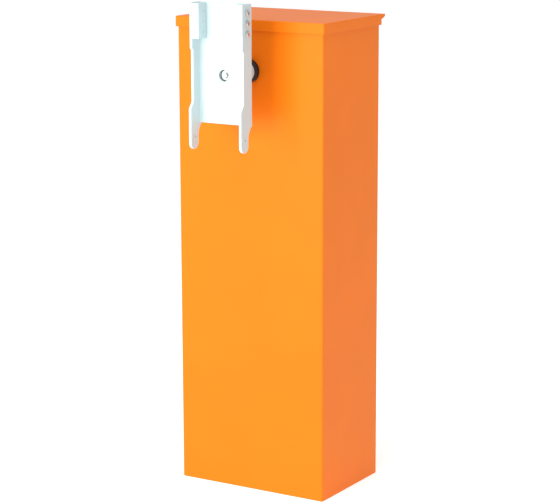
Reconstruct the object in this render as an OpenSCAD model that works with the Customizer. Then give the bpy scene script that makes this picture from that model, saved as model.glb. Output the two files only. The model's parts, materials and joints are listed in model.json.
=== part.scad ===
// Parking barrier gate: an upright sheet-metal cabinet whose worm drive turns a boom shaft through a
// quarter turn. The boom itself is not fitted, and its channel bracket stands upright (gate open).
// Frame: +Z up, origin on the ground at the centre of the cabinet's footprint, -Y the boom side.

/* [Cabinet] */
// Width of the cabinet, left to right
cab_w = 350; // [330:1:460]
// Depth of the cabinet, boom side to door side
cab_d = 235; // [225:1:320]
// Height from the ground to the top of the lid
cab_h = 1000; // [950:1:1300]
// Thickness of the folded sheet
sheet = 2; // [1.5:0.1:3]
// Width of the folded frame beside the door
jamb_w = 20; // [16:1:26]
// Height of the rail under the door
sill_h = 40; // [30:1:70]

/* [Lid] */
// Height of the folded rim
lid_rim = 22; // [16:1:40]
// Clear space between the rim and the cabinet
lid_gap = 2; // [1:0.5:4]
// Reach of the rain lip over the door
lid_lip = 13; // [6:1:20]

/* [Door] */
// Depth of the door pan
door_depth = 14; // [12:1:15]
// Clear gap round the door
door_gap = 1.5; // [1:0.1:3]
// Height of the key lock above the ground
lock_z = 520; // [400:1:700]

/* [Boom shaft] */
// Distance from the top of the lid down to the shaft axis
shaft_drop = 105; // [95:1:140]
// Radius of the shaft
shaft_r = 17.5; // [15:0.5:18.5]
// Running clearance between shafts, pins and their bores
run_fit = 0.05; // [0.02:0.01:0.09]
// Outer radius of the weather collar on the cabinet face
collar_r = 24.5; // [23:0.5:28]
// How far the collar stands off the cabinet face
collar_h = 12.5; // [8:0.5:16]
// Outer radius of the hub tube
hub_r = 21; // [20:0.5:22]

/* [Boom bracket] */
// Overall width of the bracket
br_w = 125; // [110:1:160]
// Distance from the cabinet face to the back of the bracket
br_off = 90; // [70:1:110]
// Thickness of the bracket's web
web_t = 6; // [4:0.5:8]
// Thickness of the bracket's flanges
flange_t = 5.5; // [4:0.5:8]
// Depth of the flanges where the clamp screws pass
clamp_depth = 34; // [28:1:40]
// Depth of the flanges beside the hub
mid_depth = 30; // [24:1:36]
// Depth of the flanges down to the prongs
heel_depth = 40; // [34:1:48]
// Length of the web above the shaft axis
web_up = 146; // [120:1:180]
// Length of the web below the shaft axis
web_down = 98; // [80:1:130]
// Length of the prongs below the web
prong_l = 52; // [40:1:70]
// Depth of a prong at its tip
prong_d = 26; // [20:1:30]
// Thickness of the clamp jaws
jaw_t = 16; // [8:1:20]
// Pitch of the clamp screws
screw_pitch = 21; // [19:1:24]

/* [Drive] */
// Radius of the drive lever and of the gearbox crank
crank_l = 70; // [60:1:76]
// Radius of the spring lever
spring_l = 80; // [70:1:86]
// Centre distance of the connecting rod
rod_l = 335; // [300:1:350]
// Radius of the joint pins
pin_r = 5; // [4:0.5:6]
// Thickness of the levers
lever_t = 14; // [10:1:14]
// Outer radius of the balance springs
coil_r = 17; // [14:0.5:18]
// Wire diameter of the balance springs
wire_d = 5; // [4:0.5:6]
// Outer radius of the motor
motor_r = 48; // [40:1:50]
// Length of the motor's stator
motor_l = 110; // [90:1:120]

/* [Base] */
// Distance between the anchor holes across the cabinet
anchor_x = 290; // [260:1:300]
// Distance between the anchor holes front to back
anchor_y = 150; // [120:1:170]
// Radius of an anchor hole
anchor_r = 7; // [5:0.5:9]
// Thickness of the base plate
base_t = 5; // [4:0.5:8]

/* [Hidden] */
$fn = 48;

// Cabinet faces
face_y = -cab_d / 2;
back_y = cab_d / 2;
in_x = cab_w / 2 - sheet;
in_y = face_y + sheet;
shell_h = cab_h - sheet;
rebate = door_depth + 4;
ledge_w = 12;
ledge_y = back_y - rebate;
open_x = cab_w / 2 - jamb_w;
head_z = shell_h - sill_h;
top_flange = 26;

// Door and its hinges
door_x = open_x - door_gap;
door_lo = sill_h + door_gap;
door_hi = head_z - door_gap;
door_in_y = back_y - door_depth;
knuckle_r = 4.5;
knuckle_l = 24;
leaf_w = 17;
lid_stud_r = 3;
lid_stud_l = 14;
lid_nut_h = 5;
leaf_t = 2;
hinge_x = -(open_x - door_gap / 2);
hinge_y = back_y + knuckle_r;
hinge_pin_r = 2.5;
lock_core_r = 6;
hinge_zs = [door_lo + 130, door_hi - 130];
lock_x = door_x - 24;
lock_r = 9;
cam_t = 3;
cam_y = ledge_y - sheet - 1 - cam_t;
cam_l = 40;
seal_w = 7;
seal_x = open_x - 1.5 - seal_w;
soft_gap = 0.3;

// Boom shaft, bearings and levers, measured back from the cabinet's inner front face
shaft_z = cab_h - shaft_drop;
chassis_t = 6;
chassis_stud_r = 4;
chassis_stud_l = 9;
chassis_nut_h = 6.5;
chassis_x = 130;
chassis_y = in_y + chassis_t;
chassis_back = in_y + 166;
chassis_lo = shaft_z - 465;
chassis_hi = shaft_z + 88;
bearing_w = 17;
ball_r = 5.5;
race_r = (shaft_r + 36) / 2;
bearing_r = 36;
housing_r = 44;
housing_flange = 100;
housing_flange_t = 10;
housing_t = 24;
front_bearing_y = chassis_y + housing_t - bearing_w / 2 - 2;
lever_y = chassis_y + housing_t + 4;
rod_y = lever_y + lever_t + 2;
spring_y = rod_y + lever_t + 2;
rear_housing_y = spring_y + lever_t + 4;
rear_plate_y = rear_housing_y + housing_t;
rear_plate_t = 6;
rear_plate_h = 116;
rear_bearing_y = rear_housing_y + bearing_w / 2 + 2;
cam_disc_y = rear_plate_y + rear_plate_t + 4;
shaft_back = cam_disc_y + 16;
lever_hub_r = 30;
rest_angle = 45;
pin_boss_r = 13;
lever_side = asin((lever_hub_r - pin_boss_r) / crank_l);
post_r = 8;
buffer_r = 14;
buffer_along = 50;
key_w = 8;
key_h = 3;
cam_r = 26;
tail_r = 12;
housing_bolt = 40;

// Boom bracket
br_back = face_y - br_off;
br_front = br_back - web_t;
br_in = br_w / 2 - flange_t;
br_top = shaft_z + web_up;
br_bottom = shaft_z - web_down;
hub_face = br_back + 3;
seat_y = br_front + 0.5;
seat_gap = 0.5;
clamp_y = br_back - clamp_depth;
recess_r = 12;
jaw_h = 71;
inner_r = 5;
neck_h = 28;
jaw_top = br_top - 1;
screw_y = br_back - clamp_depth / 2;
screw_top = br_top - 17;
screw_r = 3;
screw_head_r = 6.2;
screw_head_h = 4.5;
step_z = shaft_z + 54;
kink_hi = shaft_z - 54;
kink_lo = shaft_z - 67;
prong_tip = br_bottom - prong_l;
heel_y = br_back - heel_depth;
prong_hole_r = 2.5;
prong_hole_z = prong_tip + 25;
prong_hole_y = heel_y + 15;

// Worm drive
gear_z = shaft_z - rod_l;
gear_y = spring_y + lever_t;
gear_front = gear_y + 12;
gear_d = 62;
gear_back = gear_front + gear_d;
gear_plate_t = 6;
cover_t = 8;
cover_r = 42;
worm_x = 46;
worm_y = gear_front + gear_d / 2;
wheel_r = 34;
worm_r = worm_x - wheel_r - soft_gap;
output_r = 12;
gear_lo = gear_z - crank_l * sin(rest_angle) - pin_boss_r - 4;
gear_hi = gear_z + 64;
motor_lo = gear_lo - motor_l;
cap_l = 26;
rotor_r = 26;
rod_x = crank_l * cos(rest_angle);
rod_lo_z = gear_z + crank_l * sin(rest_angle);
rod_mid_y = rod_y + lever_t / 2;
rod_neck = 34;
rod_thread_r = lever_t * 5 / 14;
motor_shaft_r = 7;
wheel_z = motor_lo - cap_l - 22;
wheel_rim_r = 38;

// Balance springs: the lever pin runs in the yoke's slot and lifts the yoke by spring_travel
spring_mid_x = -(spring_l + spring_l * cos(rest_angle)) / 2;
spring_pin_z = shaft_z - spring_l * sin(rest_angle);
yoke_y = spring_y - 2 - lever_t;
yoke_slot_h = 2 * pin_r + 5.6;
yoke_slot_l = 2 * pin_r + spring_l * (1 - cos(rest_angle)) + 1;
bar_z = spring_pin_z - 52;
bar_h = 14;
coil_dx = 20;
hook_r = 7;
eye_wire_r = 3;
eyebolt_r = 4;
hook_link = 2 * hook_r - eye_wire_r - wire_d / 2 - soft_gap;
top_eye_z = bar_z - bar_h / 2 - hook_r;
low_eye_z = chassis_lo + chassis_t + 20;
coil_hi = top_eye_z - hook_link - hook_r;
coil_lo = low_eye_z + hook_link + hook_r;
coil_turns = floor((coil_hi - coil_lo) / wire_d);
coil_y = yoke_y + lever_t / 2;

// Electrics on a plate that stands on the base behind the door
plate_y = in_y + 96;
plate_back = plate_y + sheet;
plate_w = 260;
plate_h = 290;
box_lo = [-120, plate_back, 150];
box_size = [150, 50, 130];
box_t = 2.5;
lid_t = 8;
rail_z = 90;
rail_y = plate_back + 7.5;
toggle_y = rail_y + 56;
toggle_x = -94;
toggle_w = 15;
toggle_pin_r = 2;
toggle_angle = -35;
supply_x = 82;
supply_z = 235;
capacitor_z = 132;
gland_xs = [-95, -45, 5];
gland_y = plate_back + 25;
gland_r = 8;
entry_w = 150;
entry_d = 60;
entry_y = 36;

// A cylinder along Y, from y0 to y1
module y_rod(r, y0, y1, x = 0, z = 0) {
    translate([x, y0, z]) rotate([-90, 0, 0]) cylinder(r = r, h = y1 - y0);
}

// A cylinder along X, from x0 to x1
module x_rod(r, x0, x1, y = 0, z = 0) {
    translate([x0, y, z]) rotate([0, 90, 0]) cylinder(r = r, h = x1 - x0);
}

// An outline drawn in X and Z, from y0 to y1
module xz_plate(y0, y1) {
    translate([0, y1, 0]) rotate([90, 0, 0]) linear_extrude(y1 - y0) children();
}

// An outline drawn in Y and Z, from x0 to x1
module yz_plate(x0, x1) {
    translate([x0, 0, 0]) rotate([90, 0, 90]) linear_extrude(x1 - x0) children();
}

// A box given by its lowest and highest corners
module span(lo, hi) {
    translate(lo) cube(hi - lo);
}

// A rectangle with round corners, centred
module round_rect(w, h, r) {
    square([w - 2 * r, h], center = true);
    square([w, h - 2 * r], center = true);
    for (sx = [-1, 1], sz = [-1, 1]) translate([sx * (w / 2 - r), sz * (h / 2 - r)]) circle(r = r);
}

// An arm in X and Z from the origin to a pin, with round ends and a tapering body
module arm_outline(length, angle, r0, r1) {
    rotate(angle) hull() {
        circle(r = r0, $fn = 64);
        translate([length, 0]) circle(r = r1);
    }
}

// A hex-headed bolt along Z: its shank goes down from the seat at z = 0
module hex_bolt(shank_r, shank_l) {
    cylinder(r = shank_r * 1.75, h = shank_r * 1.3, $fn = 6);
    translate([0, 0, -shank_l]) cylinder(r = shank_r, h = shank_l + 0.5, $fn = 24);
}

// Places things at four corners in X and Z
module at_corners(dx, dz) {
    for (sx = [-1, 1], sz = [-1, 1]) translate([sx * dx, 0, sz * dz]) children();
}

// The shell in plan: front, sides, rear jambs and the ledges behind the door
module shell_plan() {
    difference() {
        square([cab_w, cab_d], center = true);
        square([cab_w - 2 * sheet, cab_d - 2 * sheet], center = true);
        translate([0, back_y]) square([2 * open_x, 3 * sheet], center = true);
    }
    for (s = [0, 1]) mirror([s, 0]) {
        translate([open_x, ledge_y - sheet]) square([sheet, rebate + sheet]);
        translate([open_x - ledge_w, ledge_y - sheet]) square([ledge_w + sheet, sheet]);
    }
}

module cabinet_shell() {
    color("darkorange") difference() {
        union() {
            linear_extrude(shell_h) shell_plan();
            for (z = [[0, sill_h], [head_z, shell_h]])
                span([-in_x, back_y - sheet, z[0]], [in_x, back_y, z[1]]);
            for (z = [sill_h - sheet, head_z])
                span([-open_x, ledge_y - sheet, z], [open_x, back_y, z + sheet]);
            span([-open_x, ledge_y - sheet, sill_h - sheet], [open_x, ledge_y, sill_h + ledge_w]);
            span([-open_x, ledge_y - sheet, head_z - ledge_w], [open_x, ledge_y, head_z + sheet]);
            for (s = [0, 1]) mirror([s, 0, 0])
                span([in_x - top_flange, in_y - 1, shell_h - sheet], [in_x + 1, back_y - 1, shell_h]);
        }
        y_rod(shaft_r + 4, face_y - 1, in_y + 1, 0, shaft_z);
        at_lid_studs() cylinder(r = lid_stud_r + 0.5, h = 6 * sheet, center = true);
    }
    color("darkorange") at_chassis_studs() y_rod(chassis_stud_r, in_y - 0.5, chassis_y + chassis_stud_l);
}

// Places things at the weld studs that hold the chassis on the front panel
module at_chassis_studs() {
    for (x = [-1, 1], z = [chassis_lo + 45, shaft_z - 150, chassis_hi - 18])
        translate([x * (chassis_x - 22), 0, z]) children();
}

// Places things under the lid at its four weld studs
module at_lid_studs() {
    for (s = [-1, 1], y = [in_y + 30, ledge_y - 24])
        translate([s * (in_x - top_flange / 2), y, shell_h]) children();
}

module lid() {
    w = cab_w + 2 * (lid_gap + sheet);
    d = cab_d + 2 * (lid_gap + sheet);
    lip_t = 5.5;
    lip_drop = 10;
    color("darkorange") {
        difference() {
            translate([-w / 2, -d / 2, cab_h - lid_rim]) cube([w, d, lid_rim]);
            translate([-w / 2 + sheet, -d / 2 + sheet, cab_h - lid_rim - 1])
                cube([w - 2 * sheet, d - 2 * sheet, lid_rim + 1 - sheet]);
        }
        yz_plate(-w / 2, w / 2) polygon([[d / 2 - 1, cab_h], [d / 2 - 1, cab_h - lip_drop],
            [d / 2, cab_h - lip_drop], [d / 2 + lid_lip, cab_h - lip_t], [d / 2 + lid_lip, cab_h]]);
        at_lid_studs() translate([0, 0, -lid_stud_l]) cylinder(r = lid_stud_r, h = lid_stud_l + 0.5);
    }
}

// The nuts on the weld studs of the lid and of the chassis
module stud_nuts() {
    color("silver") at_lid_studs() translate([0, 0, -sheet - lid_nut_h]) difference() {
        cylinder(r = 2 * lid_stud_r, h = lid_nut_h, $fn = 6);
        translate([0, 0, -1]) cylinder(r = lid_stud_r + run_fit, h = lid_nut_h + 2);
    }
    color("silver") at_chassis_studs() difference() {
        y_rod(1.9 * chassis_stud_r, chassis_y, chassis_y + chassis_nut_h, $fn = 6);
        y_rod(chassis_stud_r + run_fit, chassis_y - 1, chassis_y + chassis_nut_h + 2);
    }
}

module base_plate() {
    edge = 25;
    color("dimgray") difference() {
        union() {
            span([-in_x + 0.3, in_y + 0.3, 0], [in_x - 0.3, ledge_y - sheet - 0.3, base_t]);
            for (s = [0, 1]) mirror([s, 0, 0])
                span([in_x - 3.3, in_y + 0.3, 0], [in_x - 0.3, ledge_y - sheet - 0.3, edge]);
        }
        for (sx = [-1, 1], sy = [-1, 1]) translate([sx * anchor_x / 2, sy * anchor_y / 2, -1])
            cylinder(r = anchor_r, h = base_t + 2);
        translate([0, entry_y, -1]) linear_extrude(base_t + 2) round_rect(entry_w, entry_d, 15);
    }
}

module door_seal() {
    out_x = seal_x + seal_w;
    lo = sill_h + 1.5;
    hi = head_z - 1.5;
    color("black") xz_plate(ledge_y, door_in_y - soft_gap) difference() {
        translate([-out_x, lo]) square([2 * out_x, hi - lo]);
        translate([-seal_x, lo + seal_w]) square([2 * seal_x, hi - lo - 2 * seal_w]);
    }
}

// The folded pan with its half of the two hinges
module door() {
    fold_w = 12;
    color("darkorange") difference() {
        span([-door_x, door_in_y, door_lo], [door_x, back_y, door_hi]);
        span([-door_x + sheet, door_in_y + sheet, door_lo + sheet],
            [door_x - sheet, back_y - sheet, door_hi - sheet]);
        span([-door_x + fold_w, door_in_y - 1, door_lo + fold_w],
            [door_x - fold_w, back_y - sheet, door_hi - fold_w]);
        y_rod(lock_r + 0.1, back_y - 3 * sheet, back_y + 1, lock_x, lock_z);
    }
    color("silver") for (z = hinge_zs) hinge_half(z, [0], 1);
}

// One leaf with its knuckles: each knuckle is placed a whole number of pitches from the middle
module hinge_half(z, knuckles, side) {
    pitch = knuckle_l + soft_gap;
    difference() {
        union() for (k = knuckles) translate([hinge_x, 0, z + k * pitch - knuckle_l / 2]) {
            translate([0, hinge_y, 0]) cylinder(r = knuckle_r, h = knuckle_l);
            translate([side > 0 ? 0 : -leaf_w, back_y, 0]) cube([leaf_w, leaf_t, knuckle_l]);
        }
        translate([hinge_x, hinge_y, z - 2 * pitch])
            cylinder(r = hinge_pin_r + run_fit, h = 4 * pitch);
    }
}

module hinge_frame_leaves() {
    color("silver") for (z = hinge_zs) {
        hinge_half(z, [-1, 1], -1);
        span([hinge_x - leaf_w, back_y, z - knuckle_l / 2 - 1],
            [hinge_x - knuckle_r - 2, back_y + leaf_t, z + knuckle_l / 2 + 1]);
    }
}

module hinge_pins() {
    pin_l = 3 * knuckle_l + 2 * soft_gap;
    color("gray") for (z = hinge_zs) translate([hinge_x, hinge_y, z - pin_l / 2]) {
        cylinder(r = hinge_pin_r, h = pin_l);
        translate([0, 0, pin_l]) cylinder(r = knuckle_r - 0.5, h = 2);
    }
}

// The fixed barrel of the key lock with its flange outside and its nut inside
module door_lock_body() {
    color("silver") difference() {
        union() {
            y_rod(lock_r, cam_y + cam_t + soft_gap, back_y + 1, lock_x, lock_z);
            y_rod(lock_r + 4, back_y, back_y + 3, lock_x, lock_z);
            y_rod(lock_r + 4, back_y - sheet - 5, back_y - sheet, lock_x, lock_z, $fn = 6);
        }
        y_rod(lock_core_r + run_fit, cam_y, back_y + 4, lock_x, lock_z);
    }
}

// The key core and the cam that it turns behind the ledge
module lock_cam() {
    cam_w = 16;
    color("gray") difference() {
        union() {
            y_rod(lock_core_r, cam_y, back_y + 3.5, lock_x, lock_z);
            translate([lock_x, 0, lock_z]) xz_plate(cam_y, cam_y + cam_t) {
                circle(r = cam_w / 2);
                translate([-cam_w / 2, 0]) square([cam_w, cam_l]);
            }
        }
        span([lock_x - 0.8, back_y, lock_z - 3.5], [lock_x + 0.8, back_y + 4, lock_z + 3.5]);
    }
}

// A folded channel that carries the whole mechanism on the inside of the front panel
module chassis() {
    shelf_d = 85;
    color("slategray") difference() {
        union() {
            span([-chassis_x, in_y, chassis_lo], [chassis_x, chassis_y, chassis_hi]);
            for (s = [0, 1]) mirror([s, 0, 0])
                span([chassis_x - chassis_t, in_y, chassis_lo], [chassis_x, chassis_back, chassis_hi]);
            span([-chassis_x, in_y, chassis_lo], [-20, in_y + shelf_d, chassis_lo + chassis_t]);
        }
        y_rod(shaft_r + 5, in_y - 1, chassis_y + 1, 0, shaft_z);
        at_chassis_studs() y_rod(chassis_stud_r + 0.3, in_y - 1, chassis_y + 1);
        at_springs() translate([0, 0, chassis_lo - 1]) cylinder(r = eyebolt_r + 0.3, h = chassis_t + 2);
    }
}

module rear_bearing_plate() {
    color("slategray") translate([0, 0, shaft_z]) difference() {
        span([-chassis_x + chassis_t, rear_plate_y, -rear_plate_h / 2],
            [chassis_x - chassis_t, rear_plate_y + rear_plate_t, rear_plate_h / 2]);
        y_rod(shaft_r + 5, rear_plate_y - 1, rear_plate_y + rear_plate_t + 1);
        at_corners(housing_bolt, housing_bolt)
            y_rod(4.2, rear_plate_y - 1, rear_plate_y + rear_plate_t + 1);
    }
}

module gearbox_plate() {
    color("slategray") difference() {
        span([-chassis_x + chassis_t, gear_back, gear_lo + 2],
            [chassis_x - chassis_t, gear_back + gear_plate_t, gear_hi]);
        at_gear_bolts() y_rod(4.2, gear_back - 1, gear_back + gear_plate_t + 1);
    }
}

// A flanged bearing housing: its flange is at y0 and its boss runs on towards +Y, or -Y when side is -1
module bearing_housing(y0, side) {
    translate([0, y0, shaft_z]) mirror([0, side < 0 ? 1 : 0, 0]) difference() {
        union() {
            xz_plate(0, housing_flange_t) round_rect(housing_flange, housing_flange, 10);
            y_rod(housing_r, 0, housing_t);
        }
        y_rod(bearing_r + run_fit, housing_t - bearing_w - 2, housing_t + 1);
        y_rod(shaft_r + 3, -1, housing_t);
        at_corners(housing_bolt, housing_bolt) y_rod(4.2, -1, housing_flange_t + 1);
    }
}

module front_bearing_housing() {
    color("dimgray") bearing_housing(chassis_y, 1);
}

module rear_bearing_housing() {
    color("dimgray") bearing_housing(rear_plate_y, -1);
}

// The ring of a ball bearing between two radii, with its groove for the balls
module bearing_ring(y, r0, r1) {
    translate([0, y, shaft_z]) rotate([-90, 0, 0]) rotate_extrude($fn = 64) difference() {
        translate([r0, -bearing_w / 2]) square([r1 - r0, bearing_w]);
        translate([race_r, 0]) circle(r = ball_r + 0.15, $fn = 32);
    }
}

module bearing_outer_rings() {
    color("silver") for (y = [front_bearing_y, rear_bearing_y]) bearing_ring(y, race_r + 3.5, bearing_r);
}

module bearing_inner_rings() {
    color("silver") for (y = [front_bearing_y, rear_bearing_y])
        bearing_ring(y, shaft_r + run_fit, race_r - 3.5);
}

module bearing_balls() {
    balls = 9;
    color("silver") for (y = [front_bearing_y, rear_bearing_y], k = [0 : balls - 1])
        translate([race_r * cos(k * 360 / balls), y, shaft_z + race_r * sin(k * 360 / balls)])
            sphere(r = ball_r, $fn = 24);
}

module bearing_bolts() {
    color("silver") translate([0, 0, shaft_z]) at_corners(housing_bolt, housing_bolt) {
        translate([0, chassis_y + housing_flange_t, 0]) rotate([-90, 0, 0])
            hex_bolt(4, housing_flange_t - 0.5);
        translate([0, rear_plate_y - housing_flange_t, 0]) rotate([90, 0, 0])
            hex_bolt(4, housing_flange_t + rear_plate_t + 3);
    }
}

module shaft_collar() {
    color([0.1, 0.1, 0.1]) translate([0, face_y, shaft_z]) rotate([90, 0, 0]) rotate_extrude($fn = 64)
        difference() {
            union() {
                translate([shaft_r + 0.3, 0]) square([collar_r - shaft_r - 0.3, collar_h - 2]);
                translate([shaft_r + 0.3, 0]) square([collar_r - shaft_r - 2.3, collar_h]);
                translate([collar_r - 2, collar_h - 2]) circle(r = 2, $fn = 32);
            }
            translate([0, -1]) square([shaft_r + 0.3, collar_h + 2]);
        }
}

// Centre of the buffer that stops the drive lever, on the open side, in X and Z from the shaft axis
buffer_c = [
    buffer_along * cos(rest_angle - lever_side)
        - (lever_hub_r + buffer_r + soft_gap) * sin(rest_angle - lever_side),
    buffer_along * sin(rest_angle - lever_side)
        + (lever_hub_r + buffer_r + soft_gap) * cos(rest_angle - lever_side)];

module at_stops() {
    for (s = [-1, 1]) translate([buffer_c[0], 0, shaft_z + s * buffer_c[1]]) children();
}

module stop_posts() {
    color("silver") at_stops() {
        y_rod(post_r, chassis_y, lever_y + lever_t);
        y_rod(post_r + 3, chassis_y, chassis_y + 4);
    }
}

module stop_buffers() {
    color([0.12, 0.12, 0.12]) at_stops() difference() {
        y_rod(buffer_r, lever_y - 2, lever_y + lever_t);
        y_rod(post_r + run_fit, lever_y - 3, lever_y + lever_t + 1);
    }
}

// The boom shaft with its two keys: full size through the bearings, slimmer behind for the limit cams
module main_shaft() {
    color("silver") translate([0, 0, shaft_z]) {
        difference() {
            y_rod(shaft_r, hub_face + 6, rear_plate_y + rear_plate_t, $fn = 64);
            y_rod(4 + run_fit, hub_face + 5, hub_face + 30);
        }
        y_rod(tail_r, rear_plate_y, shaft_back);
        for (y = [lever_y, spring_y])
            span([-key_w / 2, y, shaft_r - 4], [key_w / 2, y + lever_t, shaft_r + key_h]);
    }
}

// Bore for the shaft and its key, through a lever
module keyed_bore(y) {
    y_rod(shaft_r + run_fit, y - 1, y + lever_t + 1, $fn = 64);
    span([-key_w / 2 - 0.1, y - 1, 0], [key_w / 2 + 0.1, y + lever_t + 1, shaft_r + key_h + 0.1]);
}

// A welded tube that stands the bracket off the collar, recessed into the web for the centre bolt
module hub_tube() {
    color("white") translate([0, 0, shaft_z]) difference() {
        union() {
            y_rod(hub_r, hub_face, face_y - collar_h - 0.5, $fn = 64);
            y_rod(hub_r + 9, br_back, br_back + 8, $fn = 64);
        }
        y_rod(recess_r, br_back - 1, hub_face, $fn = 64);
        y_rod(shaft_r + run_fit, hub_face + 6, face_y, $fn = 64);
        y_rod(4.2, hub_face - 1, hub_face + 7);
    }
}

// Outline of a flange in Y and Z: clamp stretch, waist, heel and the prong with its curved neck
module flange_outline() {
    mid_y = br_back - mid_depth;
    prong_y = heel_y + prong_d;
    tip_r = prong_d / 2;
    neck_w = br_back - prong_y;
    neck_r = (neck_w * neck_w + neck_h * neck_h) / (2 * neck_w);
    difference() {
        union() {
            polygon([[br_back, br_top], [clamp_y, br_top], [clamp_y, step_z], [mid_y, step_z - 3],
                [mid_y, kink_hi], [heel_y, kink_lo], [heel_y, prong_tip + tip_r],
                [prong_y, prong_tip + tip_r], [prong_y, br_bottom - neck_h], [br_back, br_bottom - neck_h]]);
            translate([heel_y + tip_r, prong_tip + tip_r]) circle(r = tip_r);
        }
        translate([prong_y + neck_r, br_bottom - neck_h]) circle(r = neck_r, $fn = 96);
    }
}

// The web between the flanges, with the raised seat that the boom's root lies on
module bracket_web() {
    seat_x = br_in - inner_r - seat_gap;
    jaw_x = br_in - jaw_t - seat_gap;
    jaw_lo = jaw_top - jaw_h - seat_gap;
    color("white") difference() {
        union() {
            span([-br_in, seat_y, br_bottom], [br_in, br_back, br_top]);
            span([-seat_x, br_front, br_bottom], [seat_x, seat_y + 1, jaw_lo]);
            span([-jaw_x, br_front, jaw_lo - 1], [jaw_x, seat_y + 1, br_top]);
        }
        y_rod(recess_r, br_front - 1, br_back + 1, 0, shaft_z, $fn = 64);
    }
}

// The two side plates with the fillet welds that hold them to the web
module bracket_flanges() {
    color("white") for (s = [0, 1]) mirror([s, 0, 0]) difference() {
        union() {
            yz_plate(br_in, br_w / 2) flange_outline();
            translate([br_in, seat_y, br_bottom]) linear_extrude(br_top - br_bottom) inside_fillet(inner_r);
        }
        at_clamp_screws() x_rod(screw_r + 0.2, br_in - inner_r, br_w);
        x_rod(prong_hole_r, br_in - 1, br_w, prong_hole_y, prong_hole_z);
    }
}

// Places things on the axes of the three clamp screws
module at_clamp_screws() {
    for (k = [0 : 2]) translate([0, screw_y, screw_top - k * screw_pitch]) children();
}

// The fillet between the web and a flange, in plan, with the corner at the origin and 1 mm in the flange
module inside_fillet(r) {
    difference() {
        translate([-r, -r]) square([r + 1, r]);
        translate([-r, -r]) circle(r = r);
    }
}

// A bar with a bevel that clears the fillet of the bracket
module clamp_jaws() {
    bevel = inner_r + 0.3;
    color("white") for (s = [0, 1]) mirror([s, 0, 0]) difference() {
        translate([br_in, seat_y, jaw_top - jaw_h]) linear_extrude(jaw_h)
            polygon([[-jaw_t, 0], [-bevel, 0], [0, -bevel], [0, clamp_y - seat_y],
                [-jaw_t, clamp_y - seat_y]]);
        at_clamp_screws() x_rod(screw_r + 0.1, br_in - jaw_t - 1, br_in + 1);
    }
}

module clamp_screws() {
    dome_h = 1.5;
    dome_r = screw_head_r - 2;
    key_r = 2.2;
    key_depth = 2.5;
    color("silver") for (s = [0, 1]) mirror([s, 0, 0]) at_clamp_screws() translate([br_w / 2, 0, 0])
        difference() {
            union() {
                x_rod(screw_r, -flange_t - jaw_t, 0.5);
                x_rod(screw_head_r, 0, screw_head_h - dome_h);
                translate([screw_head_h - dome_h, 0, 0]) rotate([0, 90, 0])
                    cylinder(r1 = screw_head_r, r2 = dome_r, h = dome_h, $fn = 48);
            }
            x_rod(key_r, screw_head_h - key_depth, screw_head_h + 1, $fn = 6);
        }
}

// The bolt and washer that hold the hub on the end of the shaft
module centre_bolt() {
    color("silver") translate([0, 0, shaft_z]) {
        y_rod(10, hub_face - 2, hub_face, $fn = 48);
        y_rod(6.5, hub_face - 7, hub_face - 1.9, $fn = 6);
        y_rod(4, hub_face - 3, hub_face + 24);
    }
}

module drive_lever() {
    color("steelblue") translate([0, 0, shaft_z]) difference() {
        xz_plate(lever_y, lever_y + lever_t) arm_outline(crank_l, rest_angle, lever_hub_r, pin_boss_r);
        keyed_bore(lever_y);
        at_pin(crank_l, rest_angle) y_rod(pin_r + run_fit, lever_y - 1, lever_y + lever_t + 1);
    }
}

// Places things at the end of a lever, in X and Z
module at_pin(length, angle) {
    translate([length * cos(angle), 0, length * sin(angle)]) children();
}

module spring_lever() {
    color("steelblue") translate([0, 0, shaft_z]) difference() {
        xz_plate(spring_y, spring_y + lever_t)
            arm_outline(spring_l, 180 + rest_angle, lever_hub_r, pin_boss_r);
        keyed_bore(spring_y);
        at_pin(spring_l, 180 + rest_angle)
            y_rod(pin_r + run_fit, spring_y - 1, spring_y + lever_t + 1);
    }
}

// The rod's pin in the drive lever and the roller pin in the spring lever
module lever_pins() {
    color("silver") translate([0, 0, shaft_z]) {
        at_pin(crank_l, rest_angle) {
            y_rod(pin_r, lever_y - 1, rod_y + lever_t + 3);
            y_rod(pin_r + 3, lever_y - 4, lever_y);
        }
        at_pin(spring_l, 180 + rest_angle) {
            y_rod(pin_r, yoke_y - 3, spring_y + lever_t + 1);
            y_rod(pin_r + 3, spring_y + lever_t, spring_y + lever_t + 3);
        }
    }
}

module limit_cams() {
    cam_disc_t = 6;
    color("gold") translate([0, 0, shaft_z]) for (k = [0, 1]) {
        y = cam_disc_y + k * (cam_disc_t + 1);
        xz_plate(y, y + cam_disc_t) difference() {
            circle(r = cam_r);
            circle(r = tail_r + run_fit);
            rotate(k * 90 + 30) translate([cam_r + 4, 0]) circle(r = 8);
        }
    }
}

// Roller switches beside the limit cams, on the rear bearing plate
module limit_switches() {
    y0 = rear_plate_y + rear_plate_t;
    color("black") for (s = [0, 1]) mirror([s, 0, 0]) translate([0, 0, shaft_z]) {
        span([cam_r + 18, y0, -24], [cam_r + 40, y0 + 16, 24]);
        span([cam_r + 12, y0 + 5, 14], [cam_r + 19, y0 + 11, 20]);
        span([cam_r + 10.5, y0 + 5, -4], [cam_r + 13, y0 + 11, 20]);
        y_rod(5, y0 + 4, y0 + 12, cam_r + soft_gap + 5, -2);
        span([cam_r + 5, y0 + 5, -4], [cam_r + 13, y0 + 11, 0]);
    }
}

// The tube between the two rod ends, drawn vertical at the levers' rest angle
module connecting_rod() {
    socket = 24;
    color("silver") translate([rod_x, rod_mid_y, 0]) {
        translate([0, 0, rod_lo_z + rod_neck]) difference() {
            cylinder(r = 9, h = rod_l - 2 * rod_neck);
            for (z = [-1, rod_l - 2 * rod_neck - socket])
                translate([0, 0, z]) cylinder(r = rod_thread_r + run_fit, h = socket + 1);
        }
    }
}

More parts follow.
